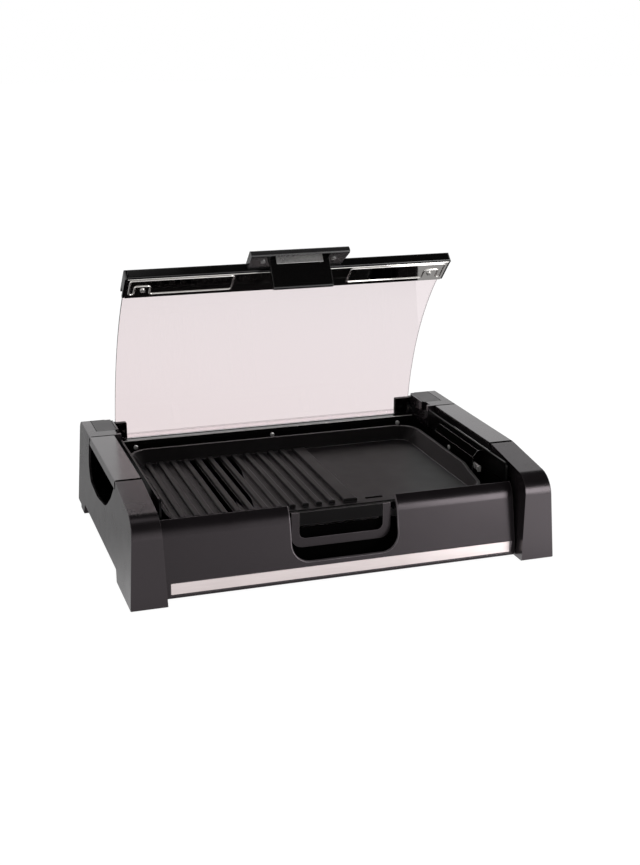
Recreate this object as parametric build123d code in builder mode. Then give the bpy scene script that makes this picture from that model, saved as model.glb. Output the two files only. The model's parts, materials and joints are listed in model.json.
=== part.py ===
from build123d import *
from math import atan2, cos, degrees, hypot, radians, sin, sqrt, tan
import os

# Electric table grill with a glass lid, in millimetres.
# X runs to the right, Y runs to the back, Z runs up, and the worktop is Z = 0.
# The origin is on the worktop, in the middle of the width and of the depth.

# Overall sizes
grill_width = 540.0
grill_depth = 388.0
housing_height = 122.0
front = -grill_depth / 2
running_gap = 0.3
fastener_gap = 0.05
half_width = grill_width / 2

# End housings: moulded shells that are also the feet and carry the lid
foot_width = 44.3
inner_foot = half_width - foot_width
outer_draft = 7.0
inner_draft = 5.0
housing_wall = 3.0
housing_edge = 1.2
pad_drop = 0.8
pad_seat = 1.5
pad_width = 28.0
pad_margin = 8.0
pad_end_margin = 3.0
front_foot_length = 90.0
front_slope_end = 112.0
front_slope_drop = 15.0
front_face_lean = 5.0
front_shoulder = 28.0
rear_shoulder = 12.0
rear_face_lean = 6.0
arch_height = 15.0
rear_foot_start = grill_depth - 50.0
rear_foot_end = grill_depth - 26.0
rear_edge_height = 5.0
window_start = 46.0
window_bottom = 20.0
window_front_top = 96.0

# Handle caps: the bars that a hand lifts the grill by
cap_start = 113.0
cap_end = grill_depth - 90.0
cap_height = 11.0
cap_seam = 0.2
hand_gap_start = 119.0
hand_gap_end = grill_depth - 83.0
hand_gap_bottom = 60.0
hand_gap_length = hand_gap_end - hand_gap_start

# Hinge towers at the rear of the housings
tower_start = grill_depth - 89.0
tower_end = grill_depth - 22.0
tower_bottom = 78.0
tower_half_span = inner_foot - 5.1
stop_start = grill_depth - 14.0
stop_half_span = inner_foot - 26.0
stop_top = 115.0
stop_round = 2.0
hinge_cover_start = grill_depth - 68.0
hinge_cover_length = 52.0
hinge_cover_width = 28.0
hinge_cover_thickness = 1.5

# Front panel and its steel strip
panel_half_width = inner_foot - 0.7
panel_wall = 3.0
sill_bottom = 2.5
sill_depth = 19.0
sill_top = 22.5
panel_brow_depth = 30.0
panel_brow_height = 75.0
panel_top = 94.0
panel_top_depth = 41.0
strip_half_length = inner_foot - 7.7
strip_bottom = 7.0
strip_top = 21.0
strip_thickness = 1.0
strip_recess = 1.6
strip_gap = 0.4
recess_half_width = 68.0
recess_bottom = 28.0
recess_corner = 22.0
recess_bevel = 1.0

# Heat shield tub, rear wall, rail and base cover
shield_half_width = inner_foot - 7.2
shield_front = 49.0
shield_back = grill_depth - 48.0
shield_bottom = 12.0
shield_wall = 0.8
shield_top = 92.0
shield_corner = 6.0
shield_screw_places = (30.7 - inner_foot, 0.0, inner_foot - 35.7)
shield_screw_height = 88.5
shield_front_top = 60.7
standoff_radius = 6.0
standoff_side = grill_width / 3.6
standoff_front = 100.0
standoff_back = grill_depth - 98.0
rail_depth = 9.0
rail_start = grill_depth - 43.0
rail_top = 93.5
rail_height = 14.0
deck_height = 89.5
rear_panel_wall = 3.0
base_thickness = 2.5
base_bottom = 3.0
base_clearance = 0.5
rear_face_start = grill_depth - 5.0
vent_pitch = 40.0
vent_count = 7
vent_length = 60.0
vent_width = 5.0

# Inner cheeks and the terminal cover beside the right one
cheek_inner = inner_foot - 4.7
cheek_thickness = 2.5
cheek_top = 116.0
guard_start = 115.0
guard_end = 241.0
guard_inner = inner_foot - 18.7
guard_bottom = 78.0
guard_shoulder = 104.0
guard_ridge = inner_foot - 11.7
guard_top = 113.0
guard_sheet = 1.2
guard_screw_place = 190.0
guard_screw_height = 95.0

# Grill plate: one casting with ribs on the left and a flat griddle on the right
plate_left = 9.7 - inner_foot
plate_right = inner_foot - 26.7
plate_front = 45.0
plate_back = grill_depth - 83.0
plate_rim_top = 96.5
plate_front_rim_top = 83.0
plate_floor_top = 80.0
plate_wall = 4.0
plate_floor_thickness = 6.0
plate_slope = 36.0
plate_corner = 32.0
plate_tab_height = 16.5
plate_tab_half_width = 53.5
drain_length = 24.0
drain_width = 6.0
rib_count = 12
rib_pitch = 17.0
rib_width = 8.0
rib_height = 4.0
rib_round = 1.8
rib_first = plate_left + 26.0
rib_start = 68.0
rib_end = plate_back - 21.0
divider_left = rib_first + 202.0
divider_right = divider_left + 18.0

# Drip tray and its front grip
tray_left = plate_left + 38.0
tray_right = plate_right - 35.0
tray_front = 52.0
tray_back = plate_back - 13.0
tray_wall = 1.0
tray_height = 44.0
tray_corner = 12.0
grip_front = 41.0
grip_thickness = 3.0
grip_half_width = 64.0
grip_inner_half_width = 54.0
grip_bar_bottom = 38.0
grip_bar_top = 49.5
grip_top = 83.0
lug_bottom = 62.6
lug_top = 68.0
lug_half_width = 4.0
grip_corner = 8.0

# Heating element, its straps and its terminals
element_diameter = 6.5
element_height = 64.0
element_left = plate_left + 51.0
element_right = plate_right - 41.0
element_inner = plate_right - 74.0
element_front = 90.0
element_back = plate_back - 45.0
element_lane = 6 * (element_back - element_front) / 17
element_bend = element_lane / 3
terminal_front = (element_front + element_back) / 2 - 10.0
terminal_back = terminal_front + 20.0
terminal_radius = 6.0
terminal_length = 26.0
element_end = plate_right + 1.0
strap_width = 10.0
strap_thickness = 2.0
strap_places = (-110.0, 90.0)
support_radius = 5.0
support_left = plate_left + 26.0
support_right = plate_right - 24.0
support_front = 72.0
support_back = plate_back - 25.0

# Thermostat, dial, lamp and cord gland in the right housing
dial_centre = 92.0
dial_height = 82.0
dial_radius = 26.0
dial_thickness = 13.5
dial_gap = 0.5
dial_bar_height = 5.0
dial_bar_width = 10.0
dial_bar_length = 36.0
dial_ring_length = 5.0
dial_ring_width = 2.5
bezel_thickness = 8.0
bezel_stand = 2.0
bezel_margin = 1.5
shaft_radius = 3.0
shaft_inset = 6.0
shaft_grip = 6.0
thermostat_length = 44.0
thermostat_width = 20.0
thermostat_height = 34.0
lamp_radius = 3.0
lamp_height = 44.0
lamp_stand = 1.2
gland_radius = 8.0
gland_bore = 3.6
gland_height = 38.0
gland_side = half_width - 24.0
gland_length = 9.0
wire_radius = 1.2
wire_bend = 6.0

# Pins of the lid, with the lid open
pin_radius = 2.5
pin_fit = 0.03
pin_back = grill_depth - 24.0
pin_height = 101.0

# Lid: bent glass with a trimmed top edge, measured open
glass_half_width = inner_foot - 8.7
glass_thickness = 4.0
glass_radius = 374.3
glass_bottom_angle = 5.7
glass_foot_height = 93.775
pin_to_glass = 5.657
glass_bow_height = glass_foot_height - glass_radius * sin(radians(glass_bottom_angle))
pin_over_bow = pin_height - glass_bow_height
glass_bow_centre = pin_back + pin_to_glass - sqrt(glass_radius**2 - pin_over_bow**2)
trim_angle = 44.2
glass_tuck = 9.0
channel_wall = 0.8
channel_height = 6.0
trim_half_width = inner_foot - 6.2
trim_length = 45.0
trim_outside = 6.0
trim_cap = 4.0
trim_lap = 10.0
gasket_thickness = 1.3
band_thickness = 5.0
band_sheet = 1.5
trim_seat_round = 0.4
band_clearance = 0.2
trim_corner = 5.0
band_half_length = inner_foot - 9.7
band_screw_place = inner_foot - 30.7
band_screw_along = 16.5
handle_half_width = 65.5
handle_root_half_width = 62.5
handle_reach = 37.0
handle_thickness = 10.5
handle_lean = 7.0
handle_screw_place = 47.0
handle_screw_along = 21.5
tongue_half_width = 39.5
tongue_root_along = 68.3
tongue_root_depth = 3.0
tongue_tip_along = 57.1
tongue_tip_depth = 47.1
tongue_thickness = 7.0
pocket_start = 16.0
pocket_end = 35.0
pocket_depth = 5.0

# Shoes of the pins, which run in slanted tracks
shoe_travel = 50.5
shoe_rise = 4.0
shoe_length = 12.0
shoe_height = 9.0
shoe_depth = 5.0
track_clearance = 0.3
track_exit_width = 19.0
clip_thickness = 2.4
clip_boss_radius = 4.5
clip_height = 15.8

# Screws
screw_head_radius = 3.2
screw_head_height = 2.0
screw_radius = 1.5
screw_length = 5.0


# Distance from the front of the feet, as a Y coordinate
def back(distance):
    return front + distance


# Rectangular block between two corners, added to or cut from the open part
def block(x_range, y_range, z_range, mode=Mode.ADD):
    centre = [(low + high) / 2 for low, high in (x_range, y_range, z_range)]
    with Locations(tuple(centre)):
        Box(
            x_range[1] - x_range[0],
            y_range[1] - y_range[0],
            z_range[1] - z_range[0],
            mode=mode,
        )


# Pan head screw: its seat is at the given point and its shank runs against the head's side
def screw(seat, outward, shank=screw_length):
    head_plane = Plane(origin=seat, z_dir=outward)
    with BuildSketch(head_plane) as head:
        Circle(screw_head_radius)
    extrude(head.sketch, amount=screw_head_height)
    with BuildSketch(head_plane) as body:
        Circle(screw_radius)
    extrude(body.sketch, amount=-shank)


# Writes one finished piece
def keep(piece, name):
    piece.part.label = name
    export_step(piece.part, "parts/" + name + ".step")


# Mirrored twin of a right-hand piece
def mirrored(piece):
    with BuildPart() as twin:
        mirror(piece.part, about=Plane.YZ)
    return twin


# Band between two radii and two angles about the centre of the glass's curve
def arc_band(inner_radius, outer_radius, start_angle, end_angle):
    centre = (back(glass_bow_centre), glass_bow_height)

    def on_arc(radius, angle):
        turn = radians(angle)
        return (centre[0] + radius * cos(turn), centre[1] + radius * sin(turn))

    with BuildLine() as band:
        CenterArc(centre, inner_radius, start_angle, end_angle - start_angle)
        Line(on_arc(inner_radius, end_angle), on_arc(outer_radius, end_angle))
        CenterArc(centre, outer_radius, start_angle, end_angle - start_angle)
        Line(on_arc(inner_radius, start_angle), on_arc(outer_radius, start_angle))
    make_face(band.edges())


# Distance of the panel's face from the front at a height
def panel_front_at(height):
    rise = (panel_brow_depth - sill_depth) / (panel_brow_height - sill_top)
    return sill_depth + max(0, height - sill_top) * rise


os.makedirs("parts", exist_ok=True)

foot_level = pad_drop


# Solid of an end housing: its side outline, with the drafts of its two side walls
def housing_blank(inset):
    slope_height = housing_height - front_slope_drop
    outline = [
        (back(0), foot_level),
        (back(front_face_lean), slope_height),
        (back(front_slope_end), housing_height),
        (back(grill_depth - rear_face_lean), housing_height),
        (back(grill_depth), rear_edge_height),
        (back(rear_foot_end + 2), rear_edge_height),
        (back(rear_foot_end), foot_level),
        (back(rear_foot_start), foot_level),
        (back(rear_foot_start - 6), arch_height),
        (back(front_foot_length + 6), arch_height),
        (back(front_foot_length), foot_level),
    ]
    corners = [1.5, front_shoulder, 90, rear_shoulder, 3, 1, 0.8, 0.8, 3, 5, 1.5]
    outer_side = Plane(
        origin=(half_width - inset, 0, 0),
        x_dir=(0, 1, 0),
        z_dir=(housing_height, 0, outer_draft),
    )
    inner_side = Plane(
        origin=(inner_foot + inset, 0, 0),
        x_dir=(0, 1, 0),
        z_dir=(-housing_height, 0, inner_draft),
    )
    with BuildPart() as blank:
        with BuildSketch(Plane.YZ.offset(inner_foot - 1)):
            with BuildLine():
                FilletPolyline(*outline, radius=corners, close=True)
            make_face()
            if inset > 0:
                offset(amount=-inset, kind=Kind.INTERSECTION)
        extrude(amount=foot_width + 2)
        split(bisect_by=outer_side, keep=Keep.BOTTOM)
        split(bisect_by=inner_side, keep=Keep.BOTTOM)
    return blank.part


# X of the outer side wall at a height
def outer_wall_at(height):
    return half_width - outer_draft * height / housing_height


# The two ends of the pin's path
pin_start = (back(pin_back), pin_height)
pin_closed = (back(pin_back - shoe_travel), pin_height + shoe_rise)
track_angle = degrees(atan2(-shoe_rise, shoe_travel))
track_length = hypot(shoe_travel, shoe_rise)
track_middle = ((pin_start[0] + pin_closed[0]) / 2, (pin_start[1] + pin_closed[1]) / 2)
track_depth = shoe_depth + track_clearance
cap_floor = housing_height - cap_height
outer_blank = housing_blank(0)
cover_inner = tower_half_span + 2
pad_inner = inner_foot + pad_margin
pad_spans = (
    (3 * pad_end_margin, front_foot_length - 5 * pad_end_margin),
    (rear_foot_start + pad_end_margin, rear_foot_end - pad_end_margin),
)
cap_rib_inner = inner_foot + inner_draft + housing_wall / 2
cap_rib_outer = outer_wall_at(housing_height) - housing_wall / 2

# Places that several pieces share
recess_span = 4 * recess_half_width
base_top = base_bottom + base_thickness
base_half_width = inner_foot - base_clearance
rail_half_length = tower_half_span - running_gap
shield_floor = shield_bottom + shield_wall
standoff_points = [
    (side * standoff_side, back(place))
    for side in (-1, 1)
    for place in (standoff_front, standoff_back)
]
plate_underside = plate_floor_top - plate_floor_thickness
plate_virtual_front = plate_front - (plate_rim_top - plate_front_rim_top) * tan(radians(plate_slope))
plate_span_x = plate_right - plate_left
plate_span_y = plate_back - plate_virtual_front
plate_middle_x = (plate_left + plate_right) / 2
plate_middle_y = back((plate_virtual_front + plate_back) / 2)
tray_middle_x = (tray_left + tray_right) / 2
tray_middle_y = back((tray_front + tray_back) / 2)
grip_post = (grip_half_width + grip_inner_half_width) / 2
grip_span = 4 * grip_half_width
bezel_face = outer_wall_at(dial_height) + bezel_stand
thermostat_face = bezel_face - bezel_thickness
dial_back = bezel_face + dial_gap
gland_plane = Plane.XZ.offset(-back(grill_depth))

# Frame of the lid's trim: its X runs up the lid and its Y outwards, from the end of the glass
trim_turn = radians(trim_angle)
upward = Vector(0, -sin(trim_turn), cos(trim_turn))
outward = Vector(0, cos(trim_turn), sin(trim_turn))
inward = outward * -1
trim_origin = Vector(0, back(glass_bow_centre), glass_bow_height) + outward * glass_radius
trim_plane = Plane(origin=trim_origin, x_dir=upward, z_dir=(-1, 0, 0))
glass_top_angle = trim_angle + degrees(glass_tuck / glass_radius)
gasket_outside = glass_thickness / 2 + gasket_thickness
band_face = gasket_outside + band_thickness
band_plane = Plane(origin=trim_origin + inward * band_face, x_dir=(1, 0, 0), z_dir=inward)
handle_outer = trim_outside - 1
handle_fall = Vector(handle_reach, -handle_lean).normalized()
handle_normal = upward * handle_fall.Y - outward * handle_fall.X
handle_seat = (
    trim_origin
    + upward * (trim_length + handle_screw_along)
    + outward * (handle_outer - handle_thickness - handle_lean * handle_screw_along / handle_reach)
)
handle_plane = Plane(origin=handle_seat, x_dir=(1, 0, 0), z_dir=handle_normal)
glass_foot = back(glass_bow_centre) + glass_radius * cos(radians(glass_bottom_angle))
clip_bottom = glass_bow_height + glass_radius * sin(radians(glass_bottom_angle)) - channel_wall
wire_routes = (
    (terminal_front, thermostat_face - 14, 48, dial_centre - 6),
    (terminal_back, thermostat_face - 8, 43, dial_centre + 6),
)


# Point of the handle's section, at a depth below the handle's inner face
def handle_point(along, depth):
    inner_face = handle_outer - handle_thickness - handle_lean * along / handle_reach
    return (trim_length + along, inner_face + depth)


# Section of the tongue in the frame of the trim
def tongue_section():
    root = (tongue_root_along, -tongue_root_depth)
    tip = (tongue_tip_along, -tongue_tip_depth)
    lean = atan2(tip[1] - root[1], tip[0] - root[0])
    half = tongue_thickness / 2
    aside = (-half * sin(lean), half * cos(lean))
    with BuildLine() as section:
        FilletPolyline(
            (root[0] + aside[0], root[1] + aside[1]),
            (tip[0] + aside[0], tip[1] + aside[1]),
            (tip[0] - aside[0], tip[1] - aside[1]),
            (root[0] - aside[0], root[1] - aside[1]),
            radius=[0.5, 3, 3, 0.5],
            close=True,
        )
    make_face(section.edges())


# Parts of an end housing that both sides share
with BuildPart() as housing_body:
    add(outer_blank)
    outer_edges = housing_body.edges().filter_by(
        lambda e: e.center().Z > housing_height - 30 and e.center().X > half_width - outer_draft - 2
    )
    fillet(outer_edges, radius=housing_edge)
    add(housing_blank(housing_wall), mode=Mode.SUBTRACT)
    # windows in the inner wall, which the cheek closes
    block(
        (inner_foot - 2, inner_foot + 8),
        (back(window_start), back(tower_start)),
        (window_bottom, window_front_top),
        mode=Mode.SUBTRACT,
    )
    block(
        (inner_foot - 2, inner_foot + 8),
        (back(cap_start), back(tower_start)),
        (window_bottom, cap_floor + 1),
        mode=Mode.SUBTRACT,
    )
    # gap for the handle cap
    block(
        (inner_foot - 2, half_width + 2),
        (back(cap_start), back(cap_end)),
        (cap_floor, housing_height + 2),
        mode=Mode.SUBTRACT,
    )
    # hand opening in the outer wall
    with BuildSketch(Plane.YZ.offset(half_width - outer_draft - 3 * housing_wall)):
        with BuildLine():
            FilletPolyline(
                (back(hand_gap_start), cap_floor),
                (back(hand_gap_start + 0.102 * hand_gap_length), cap_floor - 19),
                (back(hand_gap_start + 0.285 * hand_gap_length), hand_gap_bottom + 9),
                (back(hand_gap_start + 0.624 * hand_gap_length), hand_gap_bottom),
                (back(hand_gap_end - 15), hand_gap_bottom + 4),
                (back(hand_gap_end), hand_gap_bottom + 24),
                (back(hand_gap_end), cap_floor),
                radius=[0.16 * hand_gap_length, 0.32 * hand_gap_length, 0.64 * hand_gap_length, 25, 20],
            )
            Line((back(hand_gap_end), cap_floor), (back(hand_gap_start), cap_floor))
        make_face()
    extrude(amount=foot_width / 2, mode=Mode.SUBTRACT)
    # hinge tower
    block(
        (tower_half_span, inner_foot + 8),
        (back(tower_start), back(tower_end)),
        (tower_bottom, housing_height),
    )
    # slanted track of the lid's shoe, and the slot through which it lifts out
    with BuildSketch(Plane.YZ.offset(tower_half_span)):
        with Locations(track_middle):
            Rectangle(
                track_length + shoe_length + 2 * track_clearance,
                shoe_height + 2 * track_clearance,
                rotation=track_angle,
            )
        with Locations((pin_closed[0], housing_height)):
            Rectangle(track_exit_width, 2 * (housing_height - pin_closed[1]) + 4)
    extrude(amount=track_depth, mode=Mode.SUBTRACT)
    # seat of the hinge cover
    block(
        (cover_inner, cover_inner + hinge_cover_width),
        (back(hinge_cover_start), back(hinge_cover_start + hinge_cover_length)),
        (housing_height - hinge_cover_thickness, housing_height + 1),
        mode=Mode.SUBTRACT,
    )
    # seats of the rubber pads
    for start, end in pad_spans:
        block(
            (pad_inner, pad_inner + pad_width),
            (back(start), back(end)),
            (0, pad_drop + pad_seat),
            mode=Mode.SUBTRACT,
        )

# Right end housing, with the holes of the dial, the lamp and the cord gland
with BuildPart() as right_end_housing:
    add(housing_body.part)
    with BuildSketch(Plane.YZ.offset(bezel_face)):
        with Locations((back(dial_centre), dial_height)):
            Circle(dial_radius + bezel_margin)
    extrude(amount=-bezel_thickness, mode=Mode.SUBTRACT)
    with BuildSketch(Plane.YZ.offset(bezel_face + lamp_stand)):
        with Locations((back(dial_centre), lamp_height)):
            Circle(lamp_radius)
    extrude(amount=-bezel_thickness - lamp_stand, mode=Mode.SUBTRACT)
    with BuildSketch(gland_plane):
        with Locations((gland_side, gland_height)):
            Circle(gland_radius)
    extrude(amount=gland_length, mode=Mode.SUBTRACT)
keep(right_end_housing, "right_end_housing")

# Left end housing
left_end_housing = mirrored(housing_body)
keep(left_end_housing, "left_end_housing")

# Handle caps: channels that follow the top of the housings between the two seams
with BuildPart() as right_handle_cap:
    add(outer_blank)
    cap_edges = right_handle_cap.edges().filter_by(
        lambda e: e.center().Z > housing_height - 30 and e.center().X > half_width - outer_draft - 2
    )
    fillet(cap_edges, radius=housing_edge)
    add(housing_blank(housing_wall), mode=Mode.SUBTRACT)
    with BuildSketch(Plane.XY.offset(cap_floor)):
        with Locations((half_width - foot_width / 2, back((cap_start + cap_end) / 2))):
            Rectangle(2 * foot_width, cap_end - cap_start - 2 * cap_seam)
    extrude(amount=2 * cap_height, mode=Mode.INTERSECT)
    # cross ribs that stiffen the channel
    for place in (0.02, 0.35, 0.65, 0.98):
        rib_middle = cap_start + cap_seam + place * (cap_end - cap_start - 2 * cap_seam)
        block(
            (cap_rib_inner, cap_rib_outer),
            (back(rib_middle - 1), back(rib_middle + 1)),
            (cap_floor + 1, housing_height - housing_wall),
        )
keep(right_handle_cap, "right_handle_cap")
left_handle_cap = mirrored(right_handle_cap)
keep(left_handle_cap, "left_handle_cap")

# Lid stops: blocks behind the glass, against the inner walls of the housings
with BuildPart() as right_lid_stop:
    block(
        (stop_half_span, inner_foot + inner_draft),
        (back(stop_start), back(grill_depth - rear_face_lean)),
        (deck_height, stop_top),
    )
    stop_edges = right_lid_stop.edges().filter_by(lambda e: e.center().X < stop_half_span + 1)
    fillet(stop_edges, radius=stop_round)
    add(housing_body.part, mode=Mode.SUBTRACT)
keep(right_lid_stop, "right_lid_stop")
left_lid_stop = mirrored(right_lid_stop)
keep(left_lid_stop, "left_lid_stop")

# Hinge covers: flat plates set into the tops of the towers
with BuildPart() as right_hinge_cover:
    block(
        (cover_inner + cap_seam, cover_inner + hinge_cover_width - cap_seam),
        (
            back(hinge_cover_start + cap_seam),
            back(hinge_cover_start + hinge_cover_length - cap_seam),
        ),
        (housing_height - hinge_cover_thickness, housing_height - 0.1),
    )
    fillet(right_hinge_cover.edges().filter_by(Axis.Z), radius=1.5)
keep(right_hinge_cover, "right_hinge_cover")
left_hinge_cover = mirrored(right_hinge_cover)
keep(left_hinge_cover, "left_hinge_cover")

# Rubber pads under the four feet
with BuildPart() as foot_pads:
    for start, end in pad_spans:
        for side in (-1, 1):
            low, high = sorted((side * pad_inner, side * (pad_inner + pad_width)))
            block((low, high), (back(start), back(end)), (0, pad_drop + pad_seat))
keep(foot_pads, "foot_pads")

# Front panel: a curved wall with a sill, a strip recess and a U-shaped grip recess
with BuildPart() as front_panel:
    with BuildSketch(Plane.YZ.offset(-panel_half_width)):
        with BuildLine():
            Polyline(
                (back(sill_depth), sill_bottom),
                (back(sill_depth), sill_top),
                (back(panel_brow_depth), panel_brow_height),
            )
            TangentArc(
                (back(panel_brow_depth), panel_brow_height),
                (back(panel_top_depth), panel_top),
                tangent=(panel_brow_depth - sill_depth, panel_brow_height - sill_top),
            )
            offset(amount=panel_wall, side=Side.RIGHT)
        make_face()
    extrude(amount=2 * panel_half_width)
    block(
        (-strip_half_length - strip_gap, strip_half_length + strip_gap),
        (back(sill_depth - 1), back(sill_depth + strip_recess)),
        (strip_bottom - strip_gap, strip_top + strip_gap),
        mode=Mode.SUBTRACT,
    )
    with BuildSketch(Plane.XZ):
        with Locations((0, recess_bottom + recess_span / 2)):
            RectangleRounded(2 * recess_half_width, recess_span, recess_corner)
    extrude(amount=grill_depth, mode=Mode.SUBTRACT)
    rim_edges = front_panel.edges().filter_by(
        lambda e: abs(e.center().X) < recess_half_width + 1
        and e.length > 10
        and e.center().Y < back(panel_front_at(e.center().Z) + panel_wall / 2)
        and e.center().Z < panel_top - 4
        and e.center().Z > recess_bottom - 1
    )
    chamfer(rim_edges, length=recess_bevel)
keep(front_panel, "front_panel")

# Steel strip along the sill
with BuildPart() as front_trim_strip:
    block(
        (-strip_half_length, strip_half_length),
        (back(sill_depth + strip_recess - strip_thickness), back(sill_depth + strip_recess)),
        (strip_bottom, strip_top),
    )
    fillet(front_trim_strip.edges().filter_by(Axis.Y), radius=0.8)
keep(front_trim_strip, "front_trim_strip")

# Base cover, with the standoffs that carry the heat shield and vents under them
with BuildPart() as base_cover:
    block(
        (-base_half_width, base_half_width),
        (back(sill_depth + panel_wall), back(rear_face_start)),
        (base_bottom, base_top),
    )
    for point in standoff_points:
        with Locations((point[0], point[1], (base_top + shield_bottom) / 2)):
            Cylinder(standoff_radius, shield_bottom - base_top)
        with Locations((point[0], point[1], base_bottom)):
            Cylinder(
                screw_radius + fastener_gap,
                2 * screw_length,
                align=(Align.CENTER, Align.CENTER, Align.MIN),
                mode=Mode.SUBTRACT,
            )
    with BuildSketch(Plane.XY.offset(base_bottom)):
        with Locations((0, back(shield_back / 2 + shield_front / 2))):
            with GridLocations(vent_pitch, 0, vent_count, 1):
                SlotOverall(vent_length, vent_width, rotation=90)
    extrude(amount=base_thickness, mode=Mode.SUBTRACT)
keep(base_cover, "base_cover")

# Screws that hold the base cover
with BuildPart() as base_screws:
    for point in standoff_points:
        screw((point[0], point[1], base_bottom), (0, 0, -1), shank=screw_length)
keep(base_screws, "base_screws")

# Rear panel: the deck behind the rail and the rear wall
with BuildPart() as rear_panel:
    block(
        (-rail_half_length, rail_half_length),
        (back(rail_start + rail_depth + running_gap), back(rear_face_start + rear_panel_wall)),
        (deck_height - rear_panel_wall, deck_height),
    )
    block(
        (-base_half_width, base_half_width),
        (back(rear_face_start), back(rear_face_start + rear_panel_wall)),
        (base_bottom, deck_height),
    )
keep(rear_panel, "rear_panel")

# Heat shield: an open steel tub round the element
with BuildPart() as heat_shield:
    block(
        (-shield_half_width, shield_half_width),
        (back(shield_front), back(shield_back)),
        (shield_bottom, shield_top),
    )
    fillet(heat_shield.edges().filter_by(Axis.Z), radius=shield_corner)
    block(
        (-cheek_inner, cheek_inner),
        (back(shield_front + shield_corner * 2), back(tower_start - shield_corner)),
        (shield_top - shield_wall, shield_top),
    )
    with BuildSketch(Plane.XY.offset(shield_bottom + shield_wall)):
        with Locations((0, back((shield_front + shield_back) / 2))):
            RectangleRounded(
                2 * (shield_half_width - shield_wall),
                shield_back - shield_front - 2 * shield_wall,
                shield_corner - shield_wall,
            )
    extrude(amount=shield_top, mode=Mode.SUBTRACT)
    block(
        (-grill_width, grill_width),
        (back(shield_front - 1), back(shield_front + shield_corner + 1)),
        (shield_front_top, shield_top + 1),
        mode=Mode.SUBTRACT,
    )
    with BuildSketch(Plane.YZ.offset(shield_half_width)):
        for place in (terminal_front, terminal_back):
            with Locations((back(place), element_height)):
                Circle(terminal_radius)
    extrude(amount=-shield_corner, mode=Mode.SUBTRACT)
    with BuildSketch(Plane.XZ.offset(-back(shield_back))):
        for place in shield_screw_places:
            with Locations((place, shield_screw_height)):
                Circle(screw_radius + fastener_gap)
    extrude(amount=shield_corner, mode=Mode.SUBTRACT)
    for point in standoff_points:
        with Locations((point[0], point[1], shield_bottom)):
            Cylinder(screw_radius + fastener_gap, 2 * shield_wall + 1, mode=Mode.SUBTRACT)
keep(heat_shield, "heat_shield")

# Rear rail: the glossy bar that the lid stands behind
with BuildPart() as rear_rail:
    with BuildSketch(Plane.YZ.offset(-rail_half_length)):
        with BuildLine():
            FilletPolyline(
                (back(shield_back), rail_top - rail_height),
                (back(shield_back), rail_top - 2.5),
                (back(rail_start), rail_top),
                (back(rail_start + rail_depth), rail_top),
                (back(rail_start + rail_depth), rail_top - rail_height),
                radius=[1, 2.5, 2],
            )
            Line(
                (back(rail_start + rail_depth), rail_top - rail_height),
                (back(shield_back), rail_top - rail_height),
            )
        make_face()
    extrude(amount=2 * rail_half_length)
    with BuildSketch(Plane.XZ.offset(-back(shield_back))):
        for place in shield_screw_places:
            with Locations((place, shield_screw_height)):
                Circle(screw_radius + fastener_gap)
    extrude(amount=-screw_length, mode=Mode.SUBTRACT)
keep(rear_rail, "rear_rail")

# Screws of the heat shield's rear wall
with BuildPart() as shield_screws:
    for place in shield_screw_places:
        screw((place, back(shield_back - shield_wall), shield_screw_height), (0, -1, 0))
keep(shield_screws, "shield_screws")

# Inner cheeks that close the housings
with BuildPart() as right_inner_cheek:
    block(
        (cheek_inner, cheek_inner + cheek_thickness),
        (back(window_start), back(tower_start - running_gap)),
        (base_top, cheek_top),
    )
    block(
        (cheek_inner, cheek_inner + cheek_thickness),
        (back(tower_start - running_gap), back(tower_end)),
        (base_top, tower_bottom - running_gap),
    )
    fillet(
        right_inner_cheek.edges().filter_by(Axis.X).sort_by(Axis.Z)[-2:],
        radius=6,
    )
    with BuildSketch(Plane.YZ.offset(cheek_inner)):
        for place in (terminal_front, terminal_back):
            with Locations((back(place), element_height)):
                Circle(terminal_radius + running_gap)
    extrude(amount=cheek_thickness, mode=Mode.SUBTRACT)
keep(right_inner_cheek, "right_inner_cheek")
with BuildPart() as left_inner_cheek:
    block(
        (-cheek_inner - cheek_thickness, -cheek_inner),
        (back(window_start), back(tower_start - running_gap)),
        (base_top, cheek_top),
    )
    block(
        (-cheek_inner - cheek_thickness, -cheek_inner),
        (back(tower_start - running_gap), back(tower_end)),
        (base_top, tower_bottom - running_gap),
    )
    fillet(
        left_inner_cheek.edges().filter_by(Axis.X).sort_by(Axis.Z)[-2:],
        radius=6,
    )
keep(left_inner_cheek, "left_inner_cheek")

# Terminal cover: a folded sheet between the grill plate and the right cheek
with BuildPart() as terminal_cover:
    with BuildSketch(Plane.XZ.offset(-back(guard_start))):
        with BuildLine():
            Polyline(
                (guard_inner, guard_bottom),
                (guard_inner, guard_shoulder),
                (guard_ridge, guard_top),
                (cheek_inner, guard_top),
            )
            offset(amount=guard_sheet, side=Side.RIGHT)
        make_face()
    extrude(amount=-(guard_end - guard_start))
    with BuildSketch(Plane.YZ.offset(guard_inner)):
        with Locations((back(guard_screw_place), guard_screw_height)):
            Circle(screw_radius + fastener_gap)
    extrude(amount=guard_sheet, mode=Mode.SUBTRACT)
keep(terminal_cover, "terminal_cover")

# Screw of the terminal cover
with BuildPart() as cover_screw:
    screw((guard_inner, back(guard_screw_place), guard_screw_height), (-1, 0, 0))
keep(cover_screw, "cover_screw")

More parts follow.
